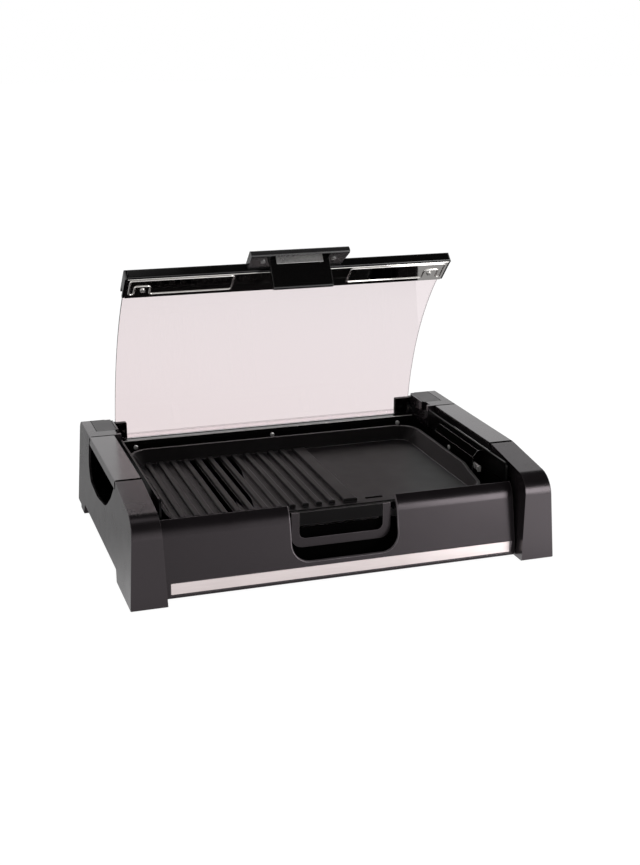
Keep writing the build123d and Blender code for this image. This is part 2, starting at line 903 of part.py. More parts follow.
# Grill plate: a casting with sloping walls, ribs, a divider, a griddle and a drain slot
with BuildPart() as grill_plate:
    with BuildSketch(Plane.XY.offset(plate_rim_top)):
        with Locations((plate_middle_x, plate_middle_y)):
            RectangleRounded(plate_span_x, plate_span_y, plate_corner)
    extrude(amount=-(plate_rim_top - plate_underside), taper=plate_slope)
    with BuildSketch(Plane.XY.offset(plate_rim_top)):
        with Locations((plate_middle_x, plate_middle_y)):
            RectangleRounded(
                plate_span_x - 2 * plate_wall,
                plate_span_y - 2 * plate_wall,
                plate_corner - plate_wall,
            )
    extrude(
        amount=-(plate_rim_top - plate_floor_top),
        taper=plate_slope,
        mode=Mode.SUBTRACT,
    )
    with BuildSketch(Plane.YZ.offset(plate_left - 1)):
        with BuildLine():
            Polyline(
                (back(plate_virtual_front - 4), plate_front_rim_top),
                (back(plate_front + 1), plate_front_rim_top),
                (back(plate_front + 8), plate_front_rim_top + 6),
                (back(plate_front + 30), plate_front_rim_top + 8),
                (back(plate_front + 54), plate_rim_top - 2.8),
                (back(plate_front + 75), plate_rim_top),
                (back(plate_front + 75), plate_rim_top + 10),
                (back(plate_virtual_front - 4), plate_rim_top + 10),
                (back(plate_virtual_front - 4), plate_front_rim_top),
            )
        make_face()
    extrude(amount=plate_right - plate_left + 2, mode=Mode.SUBTRACT)
    # front tab that shows in the grip recess
    block(
        (-plate_tab_half_width, plate_tab_half_width),
        (back(plate_front - 3.5), back(plate_front - 0.5)),
        (plate_front_rim_top - plate_tab_height, plate_front_rim_top),
    )
    block(
        (-plate_tab_half_width, plate_tab_half_width),
        (back(plate_front - 3.5), back(plate_front + 4)),
        (plate_front_rim_top - 4, plate_front_rim_top),
    )
    for index in range(rib_count):
        rib_middle = rib_first + index * rib_pitch
        block(
            (rib_middle - rib_width / 2, rib_middle + rib_width / 2),
            (back(rib_start), back(rib_end)),
            (plate_floor_top - 1, plate_floor_top + rib_height),
        )
    block(
        (divider_left, divider_right),
        (back(rib_start), back(rib_end)),
        (plate_floor_top - 1, plate_floor_top + rib_height),
    )
    rib_edges = grill_plate.edges().filter_by(
        lambda e: abs(e.center().Z - plate_floor_top - rib_height) < 0.01
        and back(rib_start) - 1 < e.center().Y < back(rib_end) + 1
        and plate_left + 20 < e.center().X < divider_right + 1
    )
    fillet(rib_edges, radius=rib_round)
    with BuildSketch(Plane.XY.offset(plate_underside - 1)):
        with Locations((divider_right + drain_length, back(rib_start + drain_width))):
            SlotOverall(drain_length, drain_width)
    extrude(amount=2 * plate_floor_thickness, mode=Mode.SUBTRACT)
keep(grill_plate, "grill_plate")

# Posts that carry the grill plate
with BuildPart() as plate_supports:
    for side in (support_left, support_right):
        for place in (support_front, support_back):
            with Locations((side, back(place), shield_floor)):
                Cylinder(
                    support_radius,
                    plate_underside - shield_floor,
                    align=(Align.CENTER, Align.CENTER, Align.MIN),
                )
keep(plate_supports, "plate_supports")

# Drip tray: a thin open pan with two tabs for its grip
with BuildPart() as drip_tray:
    with BuildSketch(Plane.XY.offset(shield_floor)):
        with Locations((tray_middle_x, tray_middle_y)):
            RectangleRounded(tray_right - tray_left, tray_back - tray_front, tray_corner)
    extrude(amount=tray_height)
    with BuildSketch(Plane.XY.offset(shield_floor + tray_wall)):
        with Locations((tray_middle_x, tray_middle_y)):
            RectangleRounded(
                tray_right - tray_left - 2 * tray_wall,
                tray_back - tray_front - 2 * tray_wall,
                tray_corner - tray_wall,
            )
    extrude(amount=tray_height, mode=Mode.SUBTRACT)
    for side in (-1, 1):
        block(
            (side * grip_post - lug_half_width - 2, side * grip_post + lug_half_width + 2),
            (back(tray_front), back(tray_front + tray_wall)),
            (shield_floor + tray_height - 2, lug_top),
        )
keep(drip_tray, "drip_tray")

# Tray grip: a U-shaped strap in the recess of the front panel
with BuildPart() as tray_grip:
    with BuildSketch(Plane.XZ.offset(-back(grip_front))):
        with Locations((0, grip_bar_bottom + grip_span / 2)):
            RectangleRounded(2 * grip_half_width, grip_span, grip_corner + 6)
        with Locations((0, grip_bar_top + grip_span / 2)):
            RectangleRounded(
                2 * grip_inner_half_width, grip_span, grip_corner, mode=Mode.SUBTRACT
            )
        with Locations((0, grip_top + grip_span / 2)):
            Rectangle(2 * grip_half_width, grip_span, mode=Mode.SUBTRACT)
    extrude(amount=-grip_thickness)
    for side in (-1, 1):
        block(
            (side * grip_post - lug_half_width, side * grip_post + lug_half_width),
            (back(grip_front + grip_thickness), back(tray_front)),
            (lug_bottom, lug_top),
        )
keep(tray_grip, "tray_grip")

# Heating element: one bent tube with both ends on the right
with BuildPart() as heating_element:
    with BuildLine() as element_path:
        FilletPolyline(
            (element_end, back(terminal_front), element_height),
            (element_right, back(terminal_front), element_height),
            (element_right, back(element_front), element_height),
            (element_left, back(element_front), element_height),
            (element_left, back(element_front + element_lane), element_height),
            (element_inner, back(element_front + element_lane), element_height),
            (element_inner, back(element_back - element_lane), element_height),
            (element_left, back(element_back - element_lane), element_height),
            (element_left, back(element_back), element_height),
            (element_right, back(element_back), element_height),
            (element_right, back(terminal_back), element_height),
            (element_end, back(terminal_back), element_height),
            radius=element_bend,
        )
    with BuildSketch(Plane(origin=element_path.line @ 0, z_dir=element_path.line % 0)):
        Circle(element_diameter / 2)
    sweep(path=element_path.line)
keep(heating_element, "heating_element")

# Straps that carry the element between the front and rear walls of the heat shield
with BuildPart() as element_straps:
    for place in strap_places:
        block(
            (place - strap_width / 2, place + strap_width / 2),
            (back(shield_front + shield_wall), back(shield_back - shield_wall)),
            (
                element_height - element_diameter / 2 - strap_thickness,
                element_height - element_diameter / 2,
            ),
        )
keep(element_straps, "element_straps")

# Ceramic bushes that take the element's ends through the wall of the heat shield
with BuildPart() as element_terminals:
    for place in (terminal_front, terminal_back):
        with BuildSketch(Plane.YZ.offset(element_end)):
            with Locations((back(place), element_height)):
                Circle(terminal_radius)
        extrude(amount=terminal_length)
keep(element_terminals, "element_terminals")

# Bezel that holds the thermostat and the dial's shaft in the housing's outer wall
with BuildPart() as dial_bezel:
    with BuildSketch(Plane.YZ.offset(bezel_face)):
        with Locations((back(dial_centre), dial_height)):
            Circle(dial_radius + bezel_margin)
            Circle(shaft_radius + fastener_gap, mode=Mode.SUBTRACT)
    extrude(amount=-bezel_thickness)
keep(dial_bezel, "dial_bezel")

# Thermostat
with BuildPart() as thermostat_body:
    block(
        (thermostat_face - thermostat_width, thermostat_face),
        (back(dial_centre - thermostat_length / 2), back(dial_centre + thermostat_length / 2)),
        (dial_height - thermostat_height / 2, dial_height + thermostat_height / 2),
    )
    fillet(thermostat_body.edges().filter_by(Axis.X), radius=3)
    with BuildSketch(Plane.YZ.offset(thermostat_face)):
        with Locations((back(dial_centre), dial_height)):
            Circle(shaft_radius + fastener_gap)
    extrude(amount=-shaft_inset, mode=Mode.SUBTRACT)
keep(thermostat_body, "thermostat_body")

# Shaft of the dial
with BuildPart() as dial_shaft:
    with BuildSketch(Plane.YZ.offset(thermostat_face - shaft_inset + running_gap)):
        with Locations((back(dial_centre), dial_height)):
            Circle(shaft_radius)
    extrude(amount=dial_back + shaft_grip - thermostat_face + shaft_inset - running_gap)
keep(dial_shaft, "dial_shaft")

# Thermostat dial with a raised grip bar across its face
with BuildPart() as thermostat_dial:
    with BuildSketch(Plane.YZ.offset(dial_back)):
        with Locations((back(dial_centre), dial_height)):
            Circle(dial_radius - dial_ring_width)
    extrude(amount=dial_thickness - dial_bar_height)
    block(
        (dial_back + dial_thickness - dial_bar_height - 1, dial_back + dial_thickness),
        (back(dial_centre - dial_bar_width / 2), back(dial_centre + dial_bar_width / 2)),
        (dial_height - dial_bar_length / 2, dial_height + dial_bar_length / 2),
    )
    fillet(thermostat_dial.faces().sort_by(Axis.X)[-1].edges(), radius=1.5)
    with BuildSketch(Plane.YZ.offset(dial_back)):
        with Locations((back(dial_centre), dial_height)):
            Circle(shaft_radius)
    extrude(amount=shaft_grip, mode=Mode.SUBTRACT)
keep(thermostat_dial, "thermostat_dial")

# Bright ring round the dial
with BuildPart() as dial_ring:
    with BuildSketch(Plane.YZ.offset(dial_back + 1)):
        with Locations((back(dial_centre), dial_height)):
            Circle(dial_radius)
            Circle(dial_radius - dial_ring_width, mode=Mode.SUBTRACT)
    extrude(amount=dial_ring_length)
    fillet(dial_ring.faces().sort_by(Axis.X)[-1].edges(), radius=0.8)
keep(dial_ring, "dial_ring")

# Pilot lamp
with BuildPart() as pilot_lamp:
    with BuildSketch(Plane.YZ.offset(bezel_face - bezel_thickness)):
        with Locations((back(dial_centre), lamp_height)):
            Circle(lamp_radius)
    extrude(amount=bezel_thickness + lamp_stand)
    fillet(pilot_lamp.faces().sort_by(Axis.X)[-1].edges(), radius=0.8)
keep(pilot_lamp, "pilot_lamp")

# Cord gland in the rear wall of the right housing
with BuildPart() as cord_gland:
    with BuildSketch(gland_plane):
        with Locations((gland_side, gland_height)):
            Circle(gland_radius)
            Circle(gland_bore, mode=Mode.SUBTRACT)
    extrude(amount=gland_length)
keep(cord_gland, "cord_gland")

# Lid glass: a bent sheet
with BuildPart() as lid_glass:
    with BuildSketch(Plane.YZ.offset(-glass_half_width)):
        arc_band(
            glass_radius - glass_thickness / 2,
            glass_radius + glass_thickness / 2,
            glass_bottom_angle,
            glass_top_angle,
        )
    extrude(amount=2 * glass_half_width)
keep(lid_glass, "lid_glass")

# Gasket between the glass and the trim
with BuildPart() as glass_gasket:
    with BuildSketch(trim_plane) as gasket_section:
        with Locations((trim_lap / 2, 0)):
            Rectangle(trim_lap, 2 * gasket_outside)
        fillet(gasket_section.vertices().group_by(Axis.X)[-1], radius=2 * trim_seat_round)
    extrude(amount=glass_half_width, both=True)
    add(lid_glass.part, mode=Mode.SUBTRACT)
keep(glass_gasket, "glass_gasket")

# Lid edge trim: the dark outer cap
with BuildPart() as lid_edge_trim:
    with BuildSketch(trim_plane):
        with BuildLine():
            FilletPolyline(
                (0, gasket_outside),
                (0, trim_outside),
                (trim_length, trim_outside),
                (trim_length, -band_face),
                (trim_length - trim_cap, -band_face),
                (trim_length - trim_cap, band_sheet - band_face),
                (0, band_sheet - band_face),
                (0, -gasket_outside),
                (trim_lap, -gasket_outside),
                (trim_lap, gasket_outside),
                radius=[0.5, 1.5, 4, 2, 0.5, 0.2, 0.5, 0.5, trim_seat_round, trim_seat_round],
                close=True,
            )
        make_face()
    extrude(amount=trim_half_width, both=True)
    with BuildSketch(band_plane):
        with Locations((0, 0)):
            RectangleRounded(2 * trim_half_width, 2 * trim_length, trim_corner)
    extrude(amount=trim_length, both=True, mode=Mode.INTERSECT)
    with BuildSketch(band_plane):
        for side in (-1, 1):
            with Locations((side * band_screw_place, band_screw_along)):
                Circle(screw_radius + fastener_gap)
    extrude(amount=-band_thickness, mode=Mode.SUBTRACT)
keep(lid_edge_trim, "lid_edge_trim")

# Bright inner band of the lid
with BuildPart() as lid_inner_band:
    with BuildSketch(trim_plane):
        with BuildLine():
            FilletPolyline(
                (0.5, band_sheet - band_face),
                (trim_length - trim_cap - band_clearance, band_sheet - band_face),
                (trim_length - trim_cap - band_clearance, -band_face),
                (0.5, -band_face),
                radius=[0.2, 0.2, 1, 1],
                close=True,
            )
        make_face()
    extrude(amount=band_half_length, both=True)
    with BuildSketch(band_plane):
        for side in (-1, 1):
            with Locations((side * band_screw_place, band_screw_along)):
                Circle(screw_radius + fastener_gap)
    extrude(amount=-band_thickness, mode=Mode.SUBTRACT)
keep(lid_inner_band, "lid_inner_band")

# Screws of the inner band
with BuildPart() as band_screws:
    for side in (-1, 1):
        seat = band_plane.from_local_coords((side * band_screw_place, band_screw_along, 0))
        screw(seat, inward, shank=band_thickness - 0.5)
keep(band_screws, "band_screws")

# Lid handle: a tapered grip on the top edge of the trim
with BuildPart() as lid_handle:
    with BuildSketch(trim_plane):
        with BuildLine():
            FilletPolyline(
                (trim_length, handle_outer),
                (trim_length + handle_reach, handle_outer - handle_lean),
                (trim_length + handle_reach, handle_outer - handle_lean - handle_thickness),
                (trim_length, handle_outer - handle_thickness),
                radius=[0.5, 6, 3, 0.5],
                close=True,
            )
        make_face()
    extrude(amount=handle_half_width, both=True)
    with BuildSketch(band_plane):
        with BuildLine():
            Polyline(
                (-handle_root_half_width, trim_length),
                (handle_root_half_width, trim_length),
                (handle_half_width, trim_length + handle_reach),
                (-handle_half_width, trim_length + handle_reach),
                (-handle_root_half_width, trim_length),
            )
        make_face()
    extrude(amount=2 * trim_length, both=True, mode=Mode.INTERSECT)
    # pocket behind the tongue, and the seat of the tongue's root in its floor
    with BuildSketch(trim_plane):
        Polygon(
            handle_point(pocket_start, pocket_depth),
            handle_point(pocket_end, pocket_depth),
            handle_point(pocket_end, -handle_thickness),
            handle_point(pocket_start, -handle_thickness),
            align=None,
        )
    extrude(amount=tongue_half_width, both=True, mode=Mode.SUBTRACT)
    with BuildSketch(trim_plane):
        tongue_section()
    extrude(amount=tongue_half_width, both=True, mode=Mode.SUBTRACT)
    with BuildSketch(handle_plane):
        for side in (-1, 1):
            with Locations((side * handle_screw_place, 0)):
                Circle(screw_radius + fastener_gap)
    extrude(amount=-screw_length, mode=Mode.SUBTRACT)
keep(lid_handle, "lid_handle")

# Finger tongue that hangs inside the handle
with BuildPart() as lid_tongue:
    with BuildSketch(trim_plane):
        tongue_section()
    extrude(amount=tongue_half_width, both=True)
keep(lid_tongue, "lid_tongue")

# Screws of the handle
with BuildPart() as handle_screws:
    for side in (-1, 1):
        screw(handle_seat + Vector(side * handle_screw_place, 0, 0), handle_normal)
keep(handle_screws, "handle_screws")

# Channel on the lower edge of the glass
with BuildPart() as glass_channel:
    with BuildSketch(Plane.YZ.offset(-glass_half_width)):
        arc_band(
            glass_radius - glass_thickness / 2 - channel_wall,
            glass_radius + glass_thickness / 2 + channel_wall,
            glass_bottom_angle - degrees(channel_wall / glass_radius),
            glass_bottom_angle + degrees(channel_height / glass_radius),
        )
    extrude(amount=2 * glass_half_width)
    add(lid_glass.part, mode=Mode.SUBTRACT)
keep(glass_channel, "glass_channel")

# Clips on the ends of the channel, which hold the hinge pins
with BuildPart() as glass_clips:
    with BuildSketch(Plane.YZ.offset(glass_half_width)):
        with Locations((glass_foot, clip_bottom + clip_height / 2)):
            Rectangle(glass_thickness + 2 * channel_wall, clip_height)
        with Locations(pin_start):
            Circle(clip_boss_radius)
        with Locations(((pin_start[0] + glass_foot) / 2, pin_height)):
            Rectangle(glass_foot - pin_start[0], 2 * clip_boss_radius)
        with Locations(pin_start):
            Circle(pin_radius, mode=Mode.SUBTRACT)
    extrude(amount=clip_thickness)
    mirror(about=Plane.YZ)
keep(glass_clips, "glass_clips")

# Hinge pins
with BuildPart() as hinge_pins:
    with BuildSketch(Plane.YZ.offset(glass_half_width)):
        with Locations(pin_start):
            Circle(pin_radius)
    extrude(amount=tower_half_span + shoe_depth - glass_half_width)
    mirror(about=Plane.YZ)
keep(hinge_pins, "hinge_pins")

# Shoes that slide in the tracks of the towers and turn on the pins
with BuildPart() as hinge_shoes:
    with BuildSketch(Plane.YZ.offset(tower_half_span + track_clearance)):
        with Locations(pin_start):
            Rectangle(shoe_length, shoe_height, rotation=track_angle)
            Circle(pin_radius + pin_fit, mode=Mode.SUBTRACT)
    extrude(amount=shoe_depth - track_clearance)
    mirror(about=Plane.YZ)
keep(hinge_shoes, "hinge_shoes")

# Wires from the element's ends to the thermostat
with BuildPart() as element_wires:
    for place, side, level, entry in wire_routes:
        with BuildLine() as wire_path:
            FilletPolyline(
                (element_end + terminal_length, back(place), element_height),
                (side, back(place), element_height),
                (side, back(place), level),
                (side, back(entry), level),
                (side, back(entry), dial_height - thermostat_height / 2),
                radius=wire_bend,
            )
        with BuildSketch(Plane(origin=wire_path.line @ 0, z_dir=wire_path.line % 0)):
            Circle(wire_radius)
        sweep(path=wire_path.line)
keep(element_wires, "element_wires")
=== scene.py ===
import json
import math

import bmesh
import bpy
from mathutils import Matrix, Vector

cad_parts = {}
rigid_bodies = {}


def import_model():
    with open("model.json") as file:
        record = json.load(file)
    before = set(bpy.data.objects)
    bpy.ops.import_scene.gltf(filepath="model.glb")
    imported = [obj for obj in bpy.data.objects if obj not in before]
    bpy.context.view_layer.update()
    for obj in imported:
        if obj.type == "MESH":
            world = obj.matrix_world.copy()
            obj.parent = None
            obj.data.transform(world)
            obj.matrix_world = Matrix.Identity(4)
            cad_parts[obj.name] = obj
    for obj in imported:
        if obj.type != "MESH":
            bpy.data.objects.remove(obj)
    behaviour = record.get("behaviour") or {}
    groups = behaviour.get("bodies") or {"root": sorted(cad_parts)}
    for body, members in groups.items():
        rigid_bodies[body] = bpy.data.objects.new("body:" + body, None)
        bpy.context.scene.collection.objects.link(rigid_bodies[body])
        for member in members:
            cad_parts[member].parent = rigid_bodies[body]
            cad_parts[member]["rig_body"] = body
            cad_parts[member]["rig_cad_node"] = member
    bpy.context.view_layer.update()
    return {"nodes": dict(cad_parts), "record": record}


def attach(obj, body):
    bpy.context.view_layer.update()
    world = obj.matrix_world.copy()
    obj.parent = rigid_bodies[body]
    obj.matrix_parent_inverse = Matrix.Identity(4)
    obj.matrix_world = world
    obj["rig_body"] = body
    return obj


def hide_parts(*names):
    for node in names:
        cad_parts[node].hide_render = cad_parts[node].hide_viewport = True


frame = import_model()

scene = bpy.context.scene
print("stage: frame loaded")

# camera at the photograph's place
cameraSpot = {
    "place": (-0.5140, -1.6078, 0.6573),
    "turn": -18.466,
    "dip": 17.218,
    "roll": 0.198,
    "lens": 56.25,
    "sensor": 36.0,
    "clipStart": 0.05,
    "clipEnd": 60,
}
bpy.ops.object.select_all(action="DESELECT")
bpy.ops.object.camera_add(location=cameraSpot["place"])
camera = bpy.context.object
camera.name = "photoCamera"
camera.data.lens = cameraSpot["lens"]
camera.data.sensor_width = cameraSpot["sensor"]
camera.data.clip_start = cameraSpot["clipStart"]
camera.data.clip_end = cameraSpot["clipEnd"]
camera.matrix_world = (
    Matrix.Translation(cameraSpot["place"])
    @ Matrix.Rotation(math.radians(cameraSpot["turn"]), 4, "Z")
    @ Matrix.Rotation(math.radians(90 - cameraSpot["dip"]), 4, "X")
    @ Matrix.Rotation(math.radians(cameraSpot["roll"]), 4, "Z")
)
scene.camera = camera

# studio: a pale floor that runs out to the horizon, soft lamps, a white surround
studio = {
    "white": (1, 1, 1, 1),
    "seenLevel": 1.0,
    "floorSize": 24.0,
    "floorDrop": 0.0004,
    "floorColour": (0.90, 0.90, 0.90, 1),
    "floorRough": 0.9,
    "floorShine": 0.1,
    "floorGlow": 0.86,
    "glowLevel": 1.12,
    # the floor's brightness in a reflection: in front on the left, on the right, and beyond the part,
    # and from where to where it changes
    "floorLeft": 1.08,
    "floorRight": 2.85,
    "floorFar": 0.38,
    "leftToRight": (0.0, 0.42),
    "nearToFar": (-0.3, 0.1),
    # even light on the surfaces
    "fillLevel": 0.50,
    # the room in a reflection: a white wall in front, dark overhead, a white sweep behind;
    # a fade runs between two heights of the direction, 0 level and 1 straight up
    "frontLevel": 0.88,
    "darkLevel": 0.02,
    "backLevel": 1.15,
    "frontFade": (0.14, 0.60),
    "backFade": (0.60, 0.69),
    "frontToBack": (-0.15, 0.15),
    # a soft ceiling light right above
    "zenithLevel": 1.0,
    "zenithFade": (0.965, 0.988),
    # lamps: name, place, size, power
    "lampAim": (0, 0, 0.12),
    "lamps": [
        ("keySoftbox", (1.73, -2.99, 0.95), (0.82, 1.32), 34.0),
        ("leftSoftbox", (-2.1, -0.9, 1.3), (0.8, 1.0), 6.0),
    ],
}
scene.view_settings.view_transform = "Standard"


def feed(tree, socket, value):
    # another node's output is linked, a number is set
    if hasattr(value, "is_linked"):
        tree.links.new(value, socket)
    else:
        socket.default_value = value


def calculate(tree, operation, *values, clamp=False):
    node = tree.nodes.new("ShaderNodeMath")
    node.operation = operation
    node.use_clamp = clamp
    for socket, value in zip(node.inputs, values):
        feed(tree, socket, value)
    return node.outputs[0]


def mixLevels(tree, factor, first, second):
    # a Mix node's number sockets are 0, 2 and 3
    node = tree.nodes.new("ShaderNodeMix")
    feed(tree, node.inputs[0], factor)
    feed(tree, node.inputs[2], first)
    feed(tree, node.inputs[3], second)
    return node.outputs[0]


def mixShaders(tree, factor, first, second, target):
    node = tree.nodes.new("ShaderNodeMixShader")
    for socket, value in zip(node.inputs, (factor, first.outputs[0], second.outputs[0])):
        tree.links.new(value, socket)
    tree.links.new(node.outputs[0], target.inputs["Surface"])


def splitAxes(tree, vector):
    node = tree.nodes.new("ShaderNodeSeparateXYZ")
    tree.links.new(vector, node.inputs[0])
    return node.outputs


def rangeNode(tree, value, low, high, start, end):
    node = tree.nodes.new("ShaderNodeMapRange")
    for socket, number in (("From Min", start), ("From Max", end), ("To Min", low), ("To Max", high)):
        node.inputs[socket].default_value = number
    tree.links.new(value, node.inputs["Value"])
    return node


def stepBetween(tree, value, low, high, start, end):
    node = rangeNode(tree, value, low, high, start, end)
    node.interpolation_type = "SMOOTHSTEP"
    return node.outputs["Result"]


def whiteSurround():
    # white where the camera or the glass sees it, an even fill on the surfaces, a room in reflections
    world = bpy.data.worlds.new("studioSurround")
    scene.world = world
    world.use_nodes = True
    tree = world.node_tree
    direction = splitAxes(tree, tree.nodes.new("ShaderNodeTexCoord").outputs["Generated"])
    height = direction["Z"]
    front = stepBetween(tree, height, studio["frontLevel"], studio["darkLevel"], *studio["frontFade"])
    behind = stepBetween(tree, height, studio["backLevel"], studio["darkLevel"], *studio["backFade"])
    towardBack = stepBetween(tree, direction["Y"], 0, 1, *studio["frontToBack"])
    room = mixLevels(tree, towardBack, front, behind)
    ceiling = stepBetween(tree, height, 0, studio["zenithLevel"], *studio["zenithFade"])
    room = calculate(tree, "ADD", room, ceiling)
    path = tree.nodes.new("ShaderNodeLightPath").outputs
    lightLevel = mixLevels(tree, path["Is Glossy Ray"], studio["fillLevel"], room)
    lit, seen = tree.nodes["Background"], tree.nodes.new("ShaderNodeBackground")
    for node, level in ((lit, lightLevel), (seen, studio["seenLevel"])):
        node.inputs["Color"].default_value = studio["white"]
        feed(tree, node.inputs["Strength"], level)
    direct = calculate(tree, "MAXIMUM", path["Is Camera Ray"], path["Is Transmission Ray"])
    mixShaders(tree, direct, lit, seen, tree.nodes["World Output"])


def paleFloor():
    # a matt floor with some light of its own, which a reflection sees brighter on the right
    bpy.ops.mesh.primitive_plane_add(size=studio["floorSize"], location=(0, 0, -studio["floorDrop"]))
    floor = bpy.context.object
    floor.name = "studioFloor"
    material, tree, shader, vector = startFinish("paleFloor")
    shader.inputs["Base Color"].default_value = studio["floorColour"]
    shader.inputs["Roughness"].default_value = studio["floorRough"]
    shader.inputs["Specular IOR Level"].default_value = studio["floorShine"]
    place = splitAxes(tree, vector)
    across = stepBetween(tree, place["X"], studio["floorLeft"], studio["floorRight"], *studio["leftToRight"])
    away = stepBetween(tree, place["Y"], 0, 1, *studio["nearToFar"])
    path = tree.nodes.new("ShaderNodeLightPath").outputs
    mirrored = calculate(tree, "SUBTRACT", path["Is Glossy Ray"], path["Is Transmission Ray"], clamp=True)
    glow = tree.nodes.new("ShaderNodeEmission")
    glow.inputs["Color"].default_value = studio["white"]
    level = mixLevels(tree, mirrored, studio["glowLevel"], mixLevels(tree, away, across, studio["floorFar"]))
    tree.links.new(level, glow.inputs["Strength"])
    seen = calculate(tree, "MAXIMUM", path["Is Camera Ray"], path["Is Glossy Ray"])
    seen = calculate(tree, "MAXIMUM", seen, path["Is Transmission Ray"])
    share = calculate(tree, "MULTIPLY", seen, studio["floorGlow"])
    mixShaders(tree, share, shader, glow, tree.nodes["Material Output"])
    floor.data.materials.append(material)


def softboxes():
    for name, place, size, power in studio["lamps"]:
        bpy.ops.object.light_add(type="AREA", location=place)
        lamp = bpy.context.object
        lamp.name = name
        lamp.data.shape = "RECTANGLE"
        lamp.data.size, lamp.data.size_y = size
        lamp.data.energy = power
        lamp.rotation_euler = (Vector(studio["lampAim"]) - Vector(place)).to_track_quat("-Z", "Y").to_euler()


def startFinish(name):
    material = bpy.data.materials.new(name)
    material.use_nodes = True
    tree = material.node_tree
    coords = tree.nodes.new("ShaderNodeTexCoord")
    return material, tree, tree.nodes["Principled BSDF"], coords.outputs["Object"]


whiteSurround()
paleFloor()
softboxes()
print("stage: studio ready")


# finishes: every surface has its own tone changes, gloss changes and relief


def noisePattern(tree, vector, scale, detail, roughness=0.5, stretch=None):
    noise = tree.nodes.new("ShaderNodeTexNoise")
    noise.inputs["Scale"].default_value = scale
    noise.inputs["Detail"].default_value = detail
    noise.inputs["Roughness"].default_value = roughness
    if stretch:
        mapping = tree.nodes.new("ShaderNodeMapping")
        mapping.inputs["Scale"].default_value = stretch
        tree.links.new(vector, mapping.inputs["Vector"])
        vector = mapping.outputs["Vector"]
    tree.links.new(vector, noise.inputs["Vector"])
    return noise.outputs["Fac"]


def rangeOf(tree, value, low, high, start=0.3, end=0.7):
    # a noise pattern lies mostly between 0.3 and 0.7
    return rangeNode(tree, value, low, high, start, end).outputs["Result"]


def blendTones(tree, factor, first, second):
    # a Mix node's colour sockets are 6 and 7, and its colour comes out of socket 2
    mix = tree.nodes.new("ShaderNodeMix")
    mix.data_type = "RGBA"
    tree.links.new(factor, mix.inputs["Factor"])
    for socket, tone in ((mix.inputs[6], first), (mix.inputs[7], second)):
        feed(tree, socket, tone if hasattr(tone, "is_linked") else (*tone, 1))
    return mix.outputs[2]


def reliefFrom(tree, shader, layers):
    # layers: (height, depth in metres), the finest last
    before = None
    for height, depth in layers:
        bump = tree.nodes.new("ShaderNodeBump")
        bump.inputs["Strength"].default_value = 1.0
        bump.inputs["Distance"].default_value = depth
        tree.links.new(height, bump.inputs["Height"])
        if before:
            tree.links.new(before, bump.inputs["Normal"])
        before = bump.outputs["Normal"]
    tree.links.new(before, shader.inputs["Normal"])


# what a moulded, metal or glass finish uses where its own look says nothing else
mouldedLook = {
    "driftScale": 14,
    "driftDetail": 3,
    "scratchScale": 26,
    "scratchDetail": 6,
    "scratchNoise": 0.75,
    "scratchStretch": (1.2, 34, 34),
    "scratchSpan": (0.68, 0.76),
    "wear": 0.2,
    "metal": 0.0,
    "shine": 0.5,
    "shineTint": (1, 1, 1, 1),
    "rubScale": 38,
    "rubDetail": 5,
    "waveDepth": 0.00002,
    "grainScale": 1800,
    "grainDetail": 2,
    "grainDepth": 0.000002,
    "coat": 0.0,
    "coatRough": 0.1,
}
metalLook = {
    "lineScale": 30,
    "lineDetail": 5,
    "lineNoise": 0.7,
    "lineDepth": 0.00001,
    "stainScale": 16,
    "stainDetail": 4,
    "stainSpan": (0.5, 0.75),
    "stain": 0.35,
    "waveDepth": 0.00003,
}
glassLook = {
    "smearScale": 9,
    "smearDetail": 5,
    "smearStretch": (1, 1, 2.2),
    "smearSpan": (0.45, 0.8),
    "tintSlant": 0.35,
    "tintSpan": (0.04, 0.34),
    "waveScale": 2.4,
    "waveDetail": 1,
    "waveDepth": 0.00003,
}


def mouldedFinish(name, look):
    # moulded or lacquered surface: slight tone drift, fine grain, rubbed spots and hair scratches
    look = {**mouldedLook, **look}
    material, tree, shader, vector = startFinish(name)
    drift = noisePattern(tree, vector, look["driftScale"], look["driftDetail"])
    tone = blendTones(tree, rangeOf(tree, drift, 0, 1), look["tone"], look["toneDrift"])
    scratch = noisePattern(
        tree,
        vector,
        look["scratchScale"],
        look["scratchDetail"],
        look["scratchNoise"],
        look["scratchStretch"],
    )
    scratched = rangeOf(tree, scratch, 0, look["wear"], *look["scratchSpan"])
    tree.links.new(blendTones(tree, scratched, tone, look["toneWorn"]), shader.inputs["Base Color"])
    rubbed = noisePattern(tree, vector, look["rubScale"], look["rubDetail"])
    tree.links.new(rangeOf(tree, rubbed, *look["rough"]), shader.inputs["Roughness"])
    grain = noisePattern(tree, vector, look["grainScale"], look["grainDetail"])
    reliefFrom(tree, shader, [(rubbed, look["waveDepth"]), (grain, look["grainDepth"])])
    for socket, value in (
        ("Metallic", look["metal"]),
        ("Specular IOR Level", look["shine"]),
        ("Specular Tint", look["shineTint"]),
        ("Coat Weight", look["coat"]),
        ("Coat Roughness", look["coatRough"]),
    ):
        shader.inputs[socket].default_value = value
    return material


